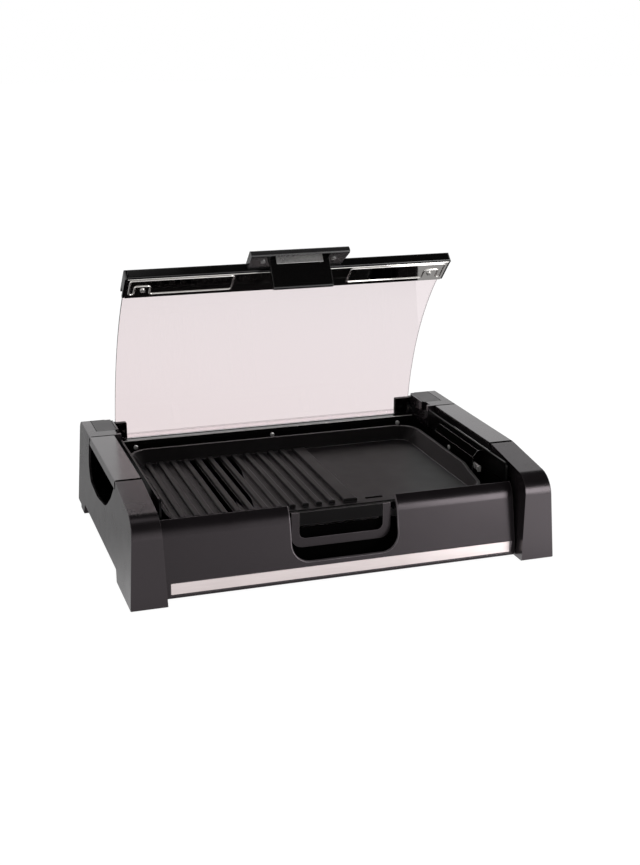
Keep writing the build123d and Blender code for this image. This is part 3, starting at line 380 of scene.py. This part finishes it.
def metalFinish(name, look):
    # metal: brushed or drawn lines along one way, and stains
    look = {**metalLook, **look}
    material, tree, shader, vector = startFinish(name)
    lines = noisePattern(
        tree, vector, look["lineScale"], look["lineDetail"], look["lineNoise"], look["brush"]
    )
    stain = noisePattern(tree, vector, look["stainScale"], look["stainDetail"])
    tone = blendTones(tree, rangeOf(tree, lines, 0, 1), look["tone"], look["toneDrift"])
    stained = rangeOf(tree, stain, 0, look["stain"], *look["stainSpan"])
    tree.links.new(blendTones(tree, stained, tone, look["toneWorn"]), shader.inputs["Base Color"])
    shader.inputs["Metallic"].default_value = 1.0
    tree.links.new(rangeOf(tree, lines, *look["rough"]), shader.inputs["Roughness"])
    reliefFrom(tree, shader, [(stain, look["waveDepth"]), (lines, look["lineDepth"])])
    return material


def glassFinish(name, look):
    # clear glass with a faint tint that pales to the upper right, a slight wave and a few smears
    look = {**glassLook, **look}
    material, tree, shader, vector = startFinish(name)
    place = splitAxes(tree, vector)
    slant = calculate(tree, "MULTIPLY_ADD", place["X"], look["tintSlant"], place["Z"])
    tint = blendTones(tree, rangeOf(tree, slant, 0, 1, *look["tintSpan"]), look["tone"], look["toneDrift"])
    tree.links.new(tint, shader.inputs["Base Color"])
    shader.inputs["Transmission Weight"].default_value = 1.0
    shader.inputs["IOR"].default_value = look["ior"]
    smear = noisePattern(tree, vector, look["smearScale"], look["smearDetail"], stretch=look["smearStretch"])
    tree.links.new(rangeOf(tree, smear, *look["rough"], *look["smearSpan"]), shader.inputs["Roughness"])
    wave = noisePattern(tree, vector, look["waveScale"], look["waveDetail"])
    reliefFrom(tree, shader, [(wave, look["waveDepth"])])
    return material


warmShine = (1.0, 0.88, 0.94, 1)
finishes = {
    "housing_plastic": (mouldedFinish, {
        "tone": (0.0062, 0.0050, 0.0056), "toneDrift": (0.0075, 0.0062, 0.0068),
        "toneWorn": (0.014, 0.012, 0.013), "rough": (0.24, 0.28), "wear": 0.3, "shine": 0.55,
        "shineTint": warmShine, "waveDepth": 0.000006,
    }),
    "cap_plastic": (mouldedFinish, {
        "tone": (0.0070, 0.0060, 0.0064), "toneDrift": (0.0085, 0.0075, 0.0079),
        "toneWorn": (0.016, 0.014, 0.015), "rough": (0.16, 0.21), "wear": 0.3, "shine": 0.66,
        "shineTint": warmShine,
    }),
    "panel_plastic": (mouldedFinish, {
        "tone": (0.0058, 0.0047, 0.0053), "toneDrift": (0.0070, 0.0058, 0.0064),
        "toneWorn": (0.013, 0.011, 0.012), "rough": (0.21, 0.25), "wear": 0.25, "shine": 0.40,
        "shineTint": warmShine, "waveDepth": 0.000006,
    }),
    "inner_plastic": (mouldedFinish, {
        "tone": (0.0016, 0.0014, 0.0014), "toneDrift": (0.0022, 0.0020, 0.0020),
        "toneWorn": (0.006, 0.0055, 0.0055), "rough": (0.30, 0.36), "wear": 0.3, "shine": 0.08,
        "waveDepth": 0.000006,
    }),
    "strip_steel": (metalFinish, {
        "tone": (0.69, 0.61, 0.605), "toneDrift": (0.77, 0.69, 0.685), "toneWorn": (0.60, 0.525, 0.515),
        "rough": (0.28, 0.38), "brush": (0.5, 60, 60),
    }),
    "sheet_steel": (metalFinish, {
        "tone": (0.50, 0.49, 0.48), "toneDrift": (0.60, 0.59, 0.58), "toneWorn": (0.34, 0.31, 0.29),
        "rough": (0.3, 0.45), "brush": (0.8, 24, 24),
    }),
    "plate_casting": (mouldedFinish, {
        "tone": (0.0045, 0.0040, 0.0042), "toneDrift": (0.0060, 0.0054, 0.0056),
        "toneWorn": (0.012, 0.0115, 0.0115), "rough": (0.29, 0.34), "shine": 0.05, "grainScale": 1400,
        "grainDepth": 0.0000015, "waveDepth": 0.000003,
    }),
    "tray_metal": (mouldedFinish, {
        "tone": (0.0040, 0.0038, 0.0038), "toneDrift": (0.0060, 0.0058, 0.0058),
        "toneWorn": (0.02, 0.019, 0.018), "rough": (0.26, 0.4), "wear": 0.35, "shine": 0.3,
    }),
    "element_steel": (metalFinish, {
        "tone": (0.20, 0.19, 0.18), "toneDrift": (0.30, 0.28, 0.26), "toneWorn": (0.16, 0.12, 0.10),
        "rough": (0.38, 0.55), "brush": (4, 30, 30),
    }),
    "ceramic": (mouldedFinish, {
        "tone": (0.72, 0.70, 0.66), "toneDrift": (0.78, 0.76, 0.72), "toneWorn": (0.55, 0.5, 0.45),
        "rough": (0.4, 0.6),
    }),
    "lid_glass": (glassFinish, {
        "tone": (0.83, 0.735, 0.745), "toneDrift": (0.875, 0.80, 0.815), "ior": 1.46,
        "rough": (0.0, 0.004),
    }),
    "clear_profile": (glassFinish, {
        "tone": (0.975, 0.955, 0.96), "toneDrift": (0.985, 0.97, 0.975), "ior": 1.15,
        "rough": (0.0, 0.01),
    }),
    "trim_black": (mouldedFinish, {
        "tone": (0.0022, 0.0020, 0.0020), "toneDrift": (0.0032, 0.0030, 0.0030),
        "toneWorn": (0.009, 0.0085, 0.0085), "rough": (0.11, 0.16), "wear": 0.25, "shine": 0.4,
    }),
    "band_chrome": (metalFinish, {
        "tone": (0.66, 0.64, 0.62), "toneDrift": (0.72, 0.70, 0.68), "toneWorn": (0.58, 0.56, 0.53),
        "rough": (0.03, 0.07), "brush": (2, 12, 12), "stain": 0.2, "lineDepth": 0.000001,
        "waveDepth": 0.00005,
    }),
    "gasket_rubber": (mouldedFinish, {
        "tone": (0.006, 0.006, 0.006), "toneDrift": (0.009, 0.009, 0.009),
        "toneWorn": (0.02, 0.02, 0.02), "rough": (0.5, 0.7), "shine": 0.25,
    }),
    "pad_rubber": (mouldedFinish, {
        "tone": (0.010, 0.010, 0.010), "toneDrift": (0.016, 0.016, 0.016),
        "toneWorn": (0.04, 0.04, 0.04), "rough": (0.6, 0.8), "shine": 0.3,
    }),
    "screw_steel": (mouldedFinish, {
        "tone": (0.52, 0.51, 0.50), "toneDrift": (0.66, 0.65, 0.64), "toneWorn": (0.36, 0.34, 0.32),
        "rough": (0.22, 0.34), "driftScale": 300, "metal": 0.75, "shine": 0.6,
    }),
    "dial_plastic": (mouldedFinish, {
        "tone": (0.0070, 0.0062, 0.0066), "toneDrift": (0.0090, 0.0082, 0.0085),
        "toneWorn": (0.02, 0.019, 0.019), "rough": (0.24, 0.32), "wear": 0.3,
    }),
    "lamp_red": (mouldedFinish, {
        "tone": (0.50, 0.03, 0.02), "toneDrift": (0.58, 0.05, 0.03), "toneWorn": (0.7, 0.2, 0.15),
        "rough": (0.1, 0.2), "wear": 0.1, "coat": 0.6,
    }),
    "shoe_plastic": (mouldedFinish, {
        "tone": (0.006, 0.006, 0.006), "toneDrift": (0.009, 0.009, 0.009),
        "toneWorn": (0.03, 0.03, 0.03), "rough": (0.3, 0.5), "shine": 0.35,
    }),
    "wire_sleeve": (mouldedFinish, {
        "tone": (0.62, 0.60, 0.55), "toneDrift": (0.70, 0.68, 0.63), "toneWorn": (0.5, 0.46, 0.4),
        "rough": (0.6, 0.8), "grainScale": 900, "grainDepth": 0.00005,
    }),
    "handle_black": (mouldedFinish, {
        "tone": (0.015, 0.0145, 0.015), "toneDrift": (0.019, 0.0182, 0.019),
        "toneWorn": (0.024, 0.023, 0.023), "rough": (0.20, 0.28), "wear": 0.3,
    }),
    "rail_black": (mouldedFinish, {
        "tone": (0.0015, 0.0014, 0.0014), "toneDrift": (0.0022, 0.0021, 0.0021),
        "toneWorn": (0.006, 0.0056, 0.0056), "rough": (0.30, 0.4), "shine": 0.0,
    }),
    "cover_plastic": (mouldedFinish, {
        "tone": (0.0058, 0.0047, 0.0053), "toneDrift": (0.0070, 0.0058, 0.0064),
        "toneWorn": (0.013, 0.011, 0.012), "rough": (0.34, 0.40), "wear": 0.25, "shine": 0.3,
        "shineTint": warmShine,
    }),
    # painted highlights for the rounded edges: on the dark pieces they are lighter and shinier than the
    # faces beside them, so the edges show as bright lines
    "soft_edge": (mouldedFinish, {
        "tone": (0.045, 0.040, 0.042), "toneDrift": (0.085, 0.076, 0.080),
        "toneWorn": (0.09, 0.082, 0.085), "rough": (0.16, 0.26), "driftScale": 60, "shine": 0.8,
        "shineTint": warmShine,
    }),
    "dark_edge": (mouldedFinish, {
        "tone": (0.010, 0.0095, 0.0095), "toneDrift": (0.020, 0.019, 0.019),
        "toneWorn": (0.05, 0.048, 0.048), "rough": (0.12, 0.22), "driftScale": 60, "shine": 0.7,
    }),
    "bright_edge": (mouldedFinish, {
        "tone": (0.34, 0.33, 0.32), "toneDrift": (0.55, 0.54, 0.53), "toneWorn": (0.65, 0.64, 0.62),
        "rough": (0.15, 0.25), "driftScale": 60, "metal": 0.6, "shine": 0.8,
    }),
}
madeFinishes = {slot: build(slot, look) for slot, (build, look) in finishes.items()}

# nodes whose finish differs from the rest of their material
ownFinish = {
    "rear_rail": "rail_black",
    "lid_handle": "handle_black",
    "hinge_pins": "element_steel",
    "glass_clips": "shoe_plastic",
    "glass_channel": "clear_profile",
    "terminal_cover": "rail_black",
    "heat_shield": "rail_black",
    "right_hinge_cover": "cover_plastic",
    "left_hinge_cover": "cover_plastic",
}
slotOfNode = {part["node"]: part["material_slot"] for part in frame["record"]["subparts"]}
bodyOfNode = {node: body for body, nodes in frame["record"]["behaviour"]["bodies"].items() for node in nodes}
for nodeName, node in frame["nodes"].items():
    node.data.materials.clear()
    node.data.materials.append(madeFinishes[ownFinish.get(nodeName, slotOfNode[nodeName])])
print("stage: CAD nodes dressed")

# how copies and new pieces are cleaned and finished, in metres and degrees
shaping = {
    "mergeWithin": 0.000004,
    "flatWithin": 0.5,
    "roundFrom": 32,
    "roundSteps": 2,
    "smoothUnder": 50,
    "flatWeight": 60,
    # how straight a face looks along an axis, and how near an edge is to a place
    "facing": 0.9,
    "nearTo": 0.0001,
}


def pickNothing():
    bpy.ops.object.select_all(action="DESELECT")


def pickOnly(piece):
    pickNothing()
    piece.select_set(True)
    bpy.context.view_layer.objects.active = piece


def editAll():
    bpy.ops.object.mode_set(mode="EDIT")
    bpy.ops.mesh.select_all(action="SELECT")


def endEdit():
    bpy.ops.object.mode_set(mode="OBJECT")


def pickParts(piece, kind, wanted):
    # in edit mode: only the faces or the edges that pass the test
    bpy.ops.mesh.select_all(action="DESELECT")
    shape = bmesh.from_edit_mesh(piece.data)
    for part in getattr(shape, kind):
        part.select_set(wanted(part))
    bmesh.update_edit_mesh(piece.data)


def cutAcross(place, normal):
    bpy.ops.mesh.select_all(action="SELECT")
    bpy.ops.mesh.bisect(plane_co=place, plane_no=normal)


def dress(piece, slotName, finishName=None):
    piece.data.materials.clear()
    piece.data.materials.append(madeFinishes[finishName or slotName])


def boxBetween(pieceName, low, high):
    # plain box between two corners, with its place kept in the mesh
    low, high = Vector(low), Vector(high)
    pickNothing()
    bpy.ops.mesh.primitive_cube_add(size=1, location=(0, 0, 0))
    piece = bpy.context.object
    piece.name = pieceName
    editAll()
    bpy.ops.transform.resize(value=(high - low)[:])
    bpy.ops.transform.translate(value=((high + low) / 2)[:])
    endEdit()
    return piece


def cleanCopy(nodeName, pieceName):
    # merged copy of a CAD node, free to be shaped; flat faces become one face each
    pickOnly(frame["nodes"][nodeName])
    bpy.ops.object.duplicate()
    piece = bpy.context.object
    piece.name = pieceName
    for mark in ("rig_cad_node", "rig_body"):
        del piece[mark]
    bpy.ops.mesh.customdata_custom_splitnormals_clear()
    editAll()
    bpy.ops.mesh.remove_doubles(threshold=shaping["mergeWithin"])
    bpy.ops.mesh.dissolve_limited(angle_limit=math.radians(shaping["flatWithin"]))
    endEdit()
    return piece


def roundEdges(piece, width, edgeFinish, segments=shaping["roundSteps"]):
    # the rounded edges take the second finish, which on most pieces paints a highlight or a shade line along
    # them, and the flat faces keep their own shading
    pickOnly(piece)
    piece.data.materials.append(madeFinishes[edgeFinish])
    modifier = piece.modifiers.new("roundedEdges", "BEVEL")
    modifier.material = 1
    modifier.width = width
    modifier.segments = segments
    modifier.limit_method = "ANGLE"
    modifier.angle_limit = math.radians(shaping["roundFrom"])
    modifier.miter_outer = "MITER_ARC"
    modifier.use_clamp_overlap = True
    bpy.ops.object.modifier_apply(modifier=modifier.name)
    bpy.ops.object.shade_smooth_by_angle(angle=math.radians(shaping["smoothUnder"]))
    modifier = piece.modifiers.new("flatFacesFirst", "WEIGHTED_NORMAL")
    modifier.keep_sharp = True
    modifier.weight = shaping["flatWeight"]
    bpy.ops.object.modifier_apply(modifier=modifier.name)


# moulded and cast pieces with their edges broken: node, piece, edge round in metres, finish of the edge,
# mostly a painted edge highlight
softPieces = [
    ("right_end_housing", "rightEndHousing", 0.0009, "soft_edge"),
    ("left_end_housing", "leftEndHousing", 0.0009, "soft_edge"),
    # painted shade: the caps and hinge covers get black edges without reflection, dark lines along their
    # seams
    ("right_handle_cap", "rightHandleCap", 0.0010, "rail_black"),
    ("left_handle_cap", "leftHandleCap", 0.0010, "rail_black"),
    ("right_hinge_cover", "rightHingeCover", 0.0006, "rail_black"),
    ("left_hinge_cover", "leftHingeCover", 0.0006, "rail_black"),
    ("right_lid_stop", "rightLidStop", 0.0006, "dark_edge"),
    ("left_lid_stop", "leftLidStop", 0.0006, "dark_edge"),
    ("front_panel", "frontPanel", 0.0009, "soft_edge"),
    ("front_trim_strip", "frontTrimStrip", 0.0002, "strip_steel"),
    ("grill_plate", "grillPlate", 0.0007, "dark_edge"),
    ("rear_rail", "rearRail", 0.0004, "dark_edge"),
    # painted highlight: the black terminal cover's edges take the bright metallic edge finish
    ("terminal_cover", "terminalCover", 0.0011, "bright_edge"),
    ("tray_grip", "trayGrip", 0.0005, "soft_edge"),
    ("lid_glass", "lidGlass", 0.0005, "lid_glass"),
    ("lid_edge_trim", "lidEdgeTrim", 0.0008, "dark_edge"),
    ("lid_handle", "lidHandle", 0.0012, "soft_edge"),
    ("lid_tongue", "lidTongue", 0.0008, "dark_edge"),
    ("thermostat_dial", "thermostatDial", 0.0006, "soft_edge"),
]
for nodeName, pieceName, edgeRound, edgeFinish in softPieces:
    piece = cleanCopy(nodeName, pieceName)
    dress(piece, slotOfNode[nodeName], ownFinish.get(nodeName))
    roundEdges(piece, edgeRound, edgeFinish)
    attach(piece, bodyOfNode[nodeName])
    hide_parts(nodeName)
print("stage: edges rounded on", len(softPieces), "pieces")

# the lid's steel band, with a pressed bead loop at each side that steps round its screw
lidBand = {
    "origin": (0.0, 0.07234, 0.3175),
    "upward": (0.0, -0.6972, 0.7169),
    "inward": (0.0, -0.7169, -0.6972),
    "faceDepth": 0.00827,
    "loopInner": 0.079,
    "loopOuter": 0.2125,
    "loopLow": 0.0085,
    "loopHigh": 0.0375,
    "notchInner": 0.1860,
    "notchOuter": 0.2060,
    "notchTop": 0.0255,
    "cornerRound": 0.0032,
    "cornerSteps": 5,
    "beadRadius": 0.0012,
    "beadSteps": 3,
    "mergeWithin": 0.000005,
    "flatWithin": 1,
    "smoothUnder": 60,
}


def trimPoint(across, along, depth):
    # a place in the frame of the lid's trim: across the lid, up its slope, and into it
    place = Vector(lidBand["origin"]) + Vector((across, 0, 0))
    return place + Vector(lidBand["upward"]) * along + Vector(lidBand["inward"]) * depth


def insideNotch(face):
    centre = face.calc_center_median()
    across = lidBand["notchInner"] < abs(centre.x) < lidBand["notchOuter"]
    return across and centre.y < lidBand["notchTop"]


def beadLoop(pieceName, side):
    # drawn flat as an outline, thickened to a round bead, then laid on the band
    inner, outer = side * lidBand["loopInner"], side * lidBand["loopOuter"]
    low, high = lidBand["loopLow"], lidBand["loopHigh"]
    pickNothing()
    bpy.ops.mesh.primitive_plane_add(size=1, location=(0, 0, 0))
    piece = bpy.context.object
    piece.name = pieceName
    editAll()
    bpy.ops.transform.resize(value=(abs(outer - inner), high - low, 1))
    bpy.ops.transform.translate(value=((inner + outer) / 2, (high + low) / 2, 0))
    cutAcross((side * lidBand["notchInner"], 0, 0), (1, 0, 0))
    cutAcross((side * lidBand["notchOuter"], 0, 0), (1, 0, 0))
    cutAcross((0, lidBand["notchTop"], 0), (0, 1, 0))
    pickParts(piece, "faces", insideNotch)
    bpy.ops.mesh.delete(type="FACE")
    bpy.ops.mesh.select_all(action="SELECT")
    bpy.ops.mesh.dissolve_limited(angle_limit=math.radians(lidBand["flatWithin"]))
    bpy.ops.mesh.select_all(action="SELECT")
    bpy.ops.mesh.bevel(offset=lidBand["cornerRound"], segments=lidBand["cornerSteps"], affect="VERTICES")
    bpy.ops.mesh.select_all(action="SELECT")
    bpy.ops.mesh.delete(type="ONLY_FACE")
    endEdit()
    bpy.ops.object.convert(target="CURVE")
    piece.data.bevel_depth = lidBand["beadRadius"]
    piece.data.bevel_resolution = lidBand["beadSteps"]
    bpy.ops.object.convert(target="MESH")
    axes = Matrix.Identity(4)
    axes.col[1] = (*lidBand["upward"], 0)
    axes.col[2] = (*lidBand["inward"], 0)
    axes.col[3] = (*trimPoint(0, 0, lidBand["faceDepth"]), 1)
    piece.matrix_world = axes
    bpy.ops.object.transform_apply()
    editAll()
    bpy.ops.mesh.remove_doubles(threshold=lidBand["mergeWithin"])
    bpy.ops.mesh.normals_make_consistent(inside=False)
    endEdit()
    bpy.ops.object.shade_smooth_by_angle(angle=math.radians(lidBand["smoothUnder"]))
    dress(piece, "band_chrome")
    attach(piece, "lid")


beadLoop("rightBandBead", 1)
beadLoop("leftBandBead", -1)
print("stage: lid band beads made")

# steel clip that holds the tongue's root in the handle's pocket
latchClip = {
    # both ends of the tongue's middle, up the slope and into the lid
    "root": (0.0683, 0.0030),
    "tip": (0.0571, 0.0471),
    "tongueHalf": 0.0035,
    "rootGap": 0.001,
    "halfWidth": 0.031,
    "length": 0.0115,
    "thickness": 0.0009,
    "upturn": 0.0036,
    "edgeRound": 0.0003,
}


def makeLatchClip():
    root, tip = (trimPoint(0, *latchClip[end]) for end in ("root", "tip"))
    outward = (tip - root).normalized()
    flatSide = Vector((1, 0, 0)).cross(outward)
    upSide = 1 if flatSide.z > 0 else -1
    lift = latchClip["tongueHalf"] + latchClip["thickness"] / 2
    reach = latchClip["length"] / 2 + latchClip["rootGap"]
    upturnEnd = latchClip["thickness"] - latchClip["length"] / 2

    def topNearRoot(face):
        return face.calc_center_median().y < upturnEnd and face.normal.z * upSide > shaping["facing"]

    half = Vector((latchClip["halfWidth"], latchClip["length"] / 2, latchClip["thickness"] / 2))
    piece = boxBetween("latchClip", -half, half)
    editAll()
    cutAcross((0, upturnEnd, 0), (0, 1, 0))
    pickParts(piece, "faces", topNearRoot)
    upturn = {"value": (0, 0, upSide * latchClip["upturn"])}
    bpy.ops.mesh.extrude_region_move(TRANSFORM_OT_translate=upturn)
    endEdit()
    axes = Matrix.Identity(4)
    axes.col[1] = (*outward, 0)
    axes.col[2] = (*flatSide, 0)
    axes.col[3] = (*(root + flatSide * upSide * lift + outward * reach), 1)
    piece.matrix_world = axes
    bpy.ops.object.transform_apply()
    dress(piece, "screw_steel")
    roundEdges(piece, latchClip["edgeRound"], "screw_steel")
    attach(piece, "lid")


makeLatchClip()
print("stage: latch clip made")

# rolled edge along the top of the rear rail, in the bright metallic edge finish: a painted highlight line on
# the black rail
rolledEdge = {
    "place": (0, 0.1585, 0.0938),
    "halfLength": 0.2185,
    "radius": 0.0008,
    "sides": 24,
    "edgeRound": 0.0004,
}


def makeRolledEdge():
    pickNothing()
    bpy.ops.mesh.primitive_cylinder_add(
        vertices=rolledEdge["sides"],
        radius=rolledEdge["radius"],
        depth=2 * rolledEdge["halfLength"],
        location=rolledEdge["place"],
        rotation=(0, math.radians(90), 0),
    )
    piece = bpy.context.object
    piece.name = "rolledRailEdge"
    bpy.ops.object.transform_apply()
    # painted highlight: the bead takes the bright edge finish instead of the rail's black
    dress(piece, "trim_black", "bright_edge")
    roundEdges(piece, rolledEdge["edgeRound"], "bright_edge")
    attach(piece, "root")


makeRolledEdge()
print("stage: rolled edge made")

# dark lip under the glass
sealLip = {
    "low": (-0.2165, 0.1714, 0.0926),
    "high": (0.2165, 0.1730, 0.0938),
    "edgeRound": 0.0003,
}


def makeSealLip():
    piece = boxBetween("glassSealLip", sealLip["low"], sealLip["high"])
    dress(piece, "gasket_rubber", "rail_black")
    roundEdges(piece, sealLip["edgeRound"], "rail_black")
    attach(piece, "lid")


makeSealLip()

# a lug at each end of the rear panel, the right one first and the left one copied from it
panelLug = {
    "low": (0.2212, 0.1830, 0.0840),
    "high": (0.2262, 0.1900, 0.0892),
    "edgeRound": 0.0004,
}


def makePanelLugs():
    right = boxBetween("rightPanelLug", panelLug["low"], panelLug["high"])
    dress(right, "inner_plastic")
    # the lug's rounded edges take the dim painted edge highlight
    roundEdges(right, panelLug["edgeRound"], "dark_edge")
    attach(right, "root")
    left = right.copy()
    left.data = right.data.copy()
    left.name = "leftPanelLug"
    bpy.context.collection.objects.link(left)
    pickOnly(left)
    editAll()
    bpy.ops.transform.translate(value=(-(panelLug["low"][0] + panelLug["high"][0]), 0, 0))
    endEdit()
    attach(left, "root")


makePanelLugs()
print("stage: lip and lugs made")

# steel tab at the front end of the terminal cover, with a fold along its front edge
coverTab = {
    "low": (0.2082, -0.0985, 0.0895),
    "high": (0.2112, -0.0785, 0.0975),
    "foldWidth": 0.0035,
    "foldReach": 0.0022,
    "edgeRound": 0.0009,
    "roundSteps": 3,
}


def makeCoverTab():
    foldEnd = coverTab["low"][1] + coverTab["foldWidth"]

    def innerFront(face):
        return face.normal.x < -shaping["facing"] and face.calc_center_median().y < foldEnd

    piece = boxBetween("coverTab", coverTab["low"], coverTab["high"])
    editAll()
    cutAcross((0, foldEnd, 0), (0, 1, 0))
    pickParts(piece, "faces", innerFront)
    bpy.ops.mesh.extrude_region_move(TRANSFORM_OT_translate={"value": (-coverTab["foldReach"], 0, 0)})
    endEdit()
    dress(piece, "screw_steel")
    # the tab's rounded edges take the bright painted edge highlight finish
    roundEdges(piece, coverTab["edgeRound"], "bright_edge", coverTab["roundSteps"])
    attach(piece, "root")


makeCoverTab()
print("stage: cover tab made")

# painted shade at both ends of the handle caps: dark strips without reflection stand for the shade in the
# seams
capSeamShades = {
    "inner": 0.2302,
    "outer": 0.2637,
    "floor": 0.1112,
    "cornerRound": 0.0032,
    "cornerSteps": 4,
    "sides": (("right", 1), ("left", -1)),
    # which end, and its seam's middle, half width and top
    "ends": (("Front", -0.0808, 0.0009, 0.1226), ("Rear", 0.1038, 0.0006, 0.1223)),
}


def makeCapSeamShade(pieceName, sign, middle, half, top):
    def outerTop(edge):
        spot = (edge.verts[0].co + edge.verts[1].co) / 2
        high = spot.z > top - shaping["nearTo"]
        return high and abs(spot.x) > capSeamShades["outer"] - shaping["nearTo"]

    lowX, highX = sorted((sign * capSeamShades["inner"], sign * capSeamShades["outer"]))
    low = (lowX, middle - half, capSeamShades["floor"])
    piece = boxBetween(pieceName, low, (highX, middle + half, top))
    editAll()
    bpy.ops.mesh.select_mode(type="EDGE")
    pickParts(piece, "edges", outerTop)
    bpy.ops.mesh.bevel(offset=capSeamShades["cornerRound"], segments=capSeamShades["cornerSteps"])
    endEdit()
    # the strip is black without reflection, painted shade
    dress(piece, "inner_plastic", "rail_black")
    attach(piece, "root")


for side, sign in capSeamShades["sides"]:
    for end, middle, half, top in capSeamShades["ends"]:
        makeCapSeamShade(side + end + "Seam", sign, middle, half, top)
print("stage: cap seams made")

# pan head screws with a cross recess, one modelled and the rest copied
crossScrew = {
    "sides": 32,
    "radius": 0.0032,
    "height": 0.0020,
    "crownInset": 0.0009,
    "crownShares": (0.35, 0.4, 0.5),
    "crownDrop": 0.0007,
    "recessDepth": 0.0014,
    "recessWidth": 0.0008,
    "recessLength": 0.0036,
    "recessTurns": (0, 90),
    "smoothUnder": 40,
    "turns": [12, 57, 33, 80, 5, 41, 66],
}


def screwPattern():
    # the head's top is at the origin, pressed to a crown and cut by two crossed bars
    pickNothing()
    middle = -crossScrew["height"] / 2
    bpy.ops.mesh.primitive_cylinder_add(
        vertices=crossScrew["sides"],
        radius=crossScrew["radius"],
        depth=crossScrew["height"],
        location=(0, 0, middle),
    )
    head = bpy.context.object
    head.name = "screwPattern"
    bpy.ops.object.transform_apply()
    bpy.ops.object.mode_set(mode="EDIT")
    pickParts(head, "faces", lambda face: face.normal.z > shaping["facing"])
    for share in crossScrew["crownShares"]:
        bpy.ops.mesh.inset(thickness=crossScrew["crownInset"] * share)
    endEdit()
    for point in head.data.vertices:
        if point.co.z > middle:
            away = point.co.xy.length / crossScrew["radius"]
            point.co.z -= crossScrew["crownDrop"] * away**2
    half = Vector((crossScrew["recessLength"] / 2, crossScrew["recessWidth"] / 2, crossScrew["recessDepth"]))
    for turn in crossScrew["recessTurns"]:
        bar = boxBetween("recessBar", -half, half)
        bar.rotation_euler.z = math.radians(turn)
        bpy.ops.object.transform_apply()
        pickOnly(head)
        cut = head.modifiers.new("recess", "BOOLEAN")
        cut.object = bar
        cut.solver = "EXACT"
        bpy.ops.object.modifier_apply(modifier=cut.name)
        bpy.data.objects.remove(bar)
    bpy.ops.object.shade_smooth_by_angle(angle=math.radians(crossScrew["smoothUnder"]))
    return head


def screwSeats(nodeName):
    # centre and outward direction of every screw's flat top in a CAD node
    cleanCopy(nodeName, "screwScratch")
    bpy.ops.object.mode_set(mode="EDIT")
    bpy.ops.mesh.separate(type="LOOSE")
    endEdit()
    seats = []
    for part in sorted(bpy.context.selected_objects, key=lambda found: found.name):
        top = max(part.data.polygons, key=lambda face: face.area)
        seats.append((top.center.copy(), top.normal.copy()))
        bpy.data.objects.remove(part)
    return sorted(seats, key=lambda seat: tuple(seat[0]))


def makeScrews(pattern, nodeName, pieceName):
    heads = []
    turns = crossScrew["turns"]
    for index, (place, outward) in enumerate(screwSeats(nodeName)):
        pickOnly(pattern)
        bpy.ops.object.duplicate()
        head = bpy.context.object
        turn = Matrix.Rotation(math.radians(turns[index % len(turns)]), 4, "Z")
        lean = outward.to_track_quat("Z", "Y").to_matrix().to_4x4()
        head.matrix_world = Matrix.Translation(place) @ lean @ turn
        bpy.ops.object.transform_apply()
        heads.append(head)
    pickOnly(heads[0])
    for head in heads:
        head.select_set(True)
    bpy.ops.object.join()
    piece = bpy.context.object
    piece.name = pieceName
    dress(piece, "screw_steel")
    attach(piece, bodyOfNode[nodeName])
    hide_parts(nodeName)


pattern = screwPattern()
for nodeName, pieceName in (
    ("band_screws", "bandScrews"),
    ("handle_screws", "handleScrews"),
    ("shield_screws", "shieldScrews"),
    ("cover_screw", "coverScrew"),
    ("base_screws", "baseScrews"),
):
    makeScrews(pattern, nodeName, pieceName)
bpy.data.objects.remove(pattern)
print("stage: screws made")
